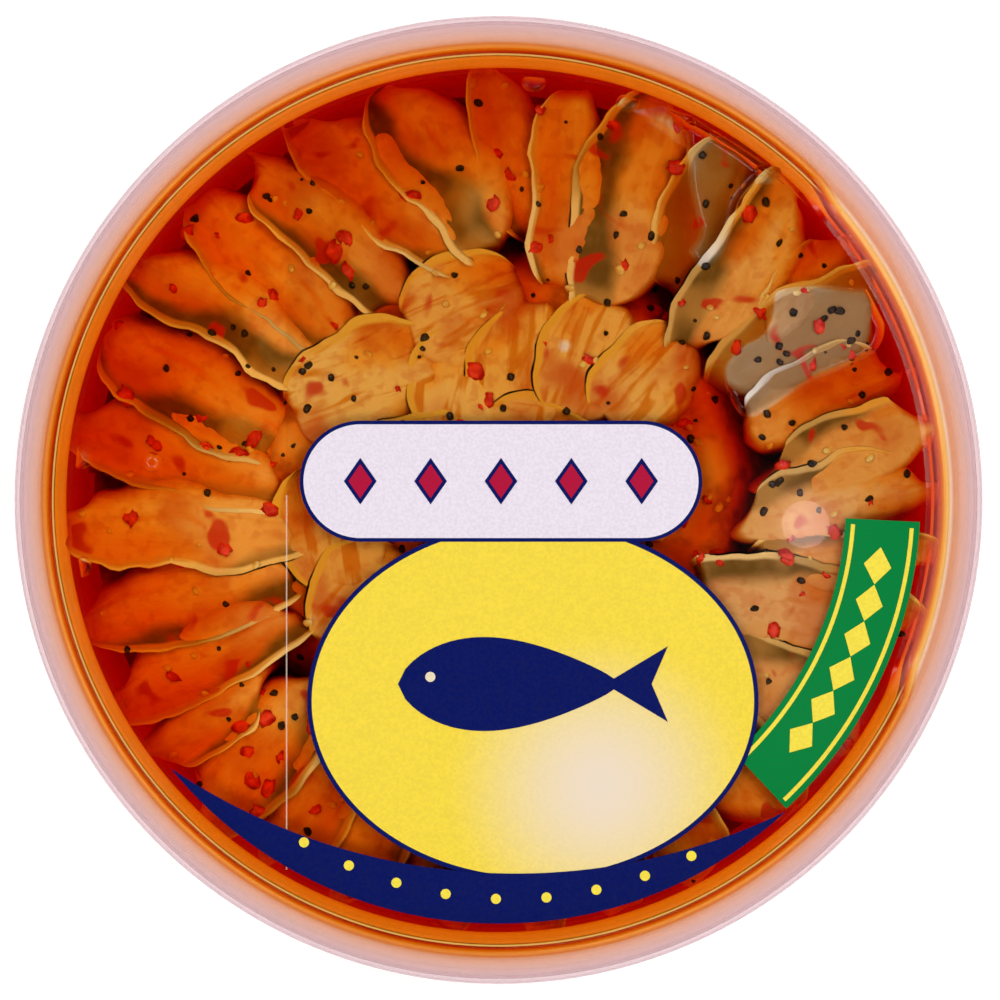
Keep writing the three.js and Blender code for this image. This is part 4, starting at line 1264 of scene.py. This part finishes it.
# A thin line along each side of the band, and diamonds between them.
def bandTrim():
    start, end = band["from"] + band["trimStart"], band["to"] - band["trimEnd"]
    innerLine, outerLine = band["inner"] + band["inset"], band["outer"] - band["inset"]
    loops = [bandPoints(innerLine, innerLine + band["trim"], start, end),
             bandPoints(outerLine - band["trim"], outerLine, start, end)]
    first = band["from"] + band["diamondStart"]
    reach = band["to"] - band["diamondEnd"] - first
    for index in range(band["diamonds"]):
        turn = math.radians(first + reach * (index + 0.5) / band["diamonds"])
        x, y = polar((band["inner"] + band["outer"]) / 2, turn)
        loops.append(diamond(x, y, band["diamondWidth"], band["diamondHeight"], turn))
    return loops


def plateDiamonds(moreWidth=0.0, moreHeight=0.0):
    reach = (plate["diamonds"] - 1) / 2
    return [diamond(plate["x"] + plate["spacing"] * (index - reach), plate["y"],
                    plate["diamondWidth"] + moreWidth, plate["diamondHeight"] + moreHeight)
            for index in range(plate["diamonds"])]


def fishPoints():
    x, y, length, height = fish["x"], fish["y"], fish["length"], fish["height"]
    upper = []
    for share in np.linspace(0, 1, 30):
        u = x - length / 2 + share * length * fish["bodyLength"]
        belly = 1.28 * math.sin(math.pi * share ** 0.72) ** 0.85 * 0.78
        upper.append((u, height / 2 * (belly + 0.12 * share)))
    tail = [(x + length * 0.5, height * 0.42), (x + length * 0.44, 0.0)]
    loop = [(u, y + v) for u, v in upper + tail]
    return loop + [(u, y - v) for u, v in reversed([*upper[1:], tail[0]])]


def addFilm():
    leftTurn = math.degrees(math.acos(film["leftEdge"] / film["radius"]))
    disc = circlePoints(0, 0, film["radius"], -leftTurn, leftTurn, 150)
    finished(printedShapes("clearFilm", [disc], -1, clearSheet("clearFilm", sheetLook)), "lid_plastic")
    left, right = film["leftEdge"], film["leftEdge"] + filmEdge["width"]
    top, bottom = filmEdge["top"], filmEdge["bottom"]
    material, tree = newMaterial("filmEdge")
    shaded(tree, {"Base Color": filmEdge["colour"], "Roughness": 0.25, "Alpha": filmEdge["alpha"]})
    edge = [(left, bottom), (right, bottom), (right, top), (left, top)]
    finished(printedShapes("filmEdge", [edge], 0, material), "lid_plastic")


def addPrint():
    inks = {name: inkMaterial(name + "Ink", inkColours[name], inkFades.get(name)) for name in inkColours}
    green = bandPoints(band["inner"], band["outer"], band["from"], band["to"])
    eye = circlePoints(fish["x"] + fish["length"] * fish["eyeX"], fish["y"] + fish["height"] * fish["eyeY"],
                       fish["eyeRadius"])
    layers = [  # name, shapes, layer, ink, slot, and the node that it replaces
        ("greenBand", [green], 0, "green", "print_green", "label_band"),
        ("bandTrim", bandTrim(), 1, "yellowTrim", "print_yellow"),
        ("ovalOutline", [ellipsePoints(oval)], 2, "navy", "print_navy"),
        ("yellowOval", [ellipsePoints(oval, oval["outline"])], 3, "yellow", "print_yellow", "label_oval"),
        ("navyFish", [fishPoints()], 4, "navy", "print_navy", "label_fish"),
        ("fishEye", [eye], 5, "cream", "print_yellow"),
        ("navyFoot", [footPoints()], 4, "navy", "print_navy", "label_foot"),
        ("footDots", footDots(), 5, "yellowTrim", "print_yellow"),
        ("plateOutline", [pillPoints(plate)], 4, "navy", "print_navy"),
        ("lilacPlate", [pillPoints(plate, plate["outline"])], 5, "lilac", "print_lilac", "label_plate"),
        ("diamondEdges", plateDiamonds(plate["edgeWidth"], plate["edgeHeight"]), 6, "navy", "print_navy"),
        ("plateDiamonds", plateDiamonds(), 7, "crimson", "print_lilac"),
    ]
    for name, loops, layer, ink, slot, *nodes in layers:
        finished(printedShapes(name, loops, layer, inks[ink]), slot, *nodes)


addFilm()
addPrint()
print("print ready")
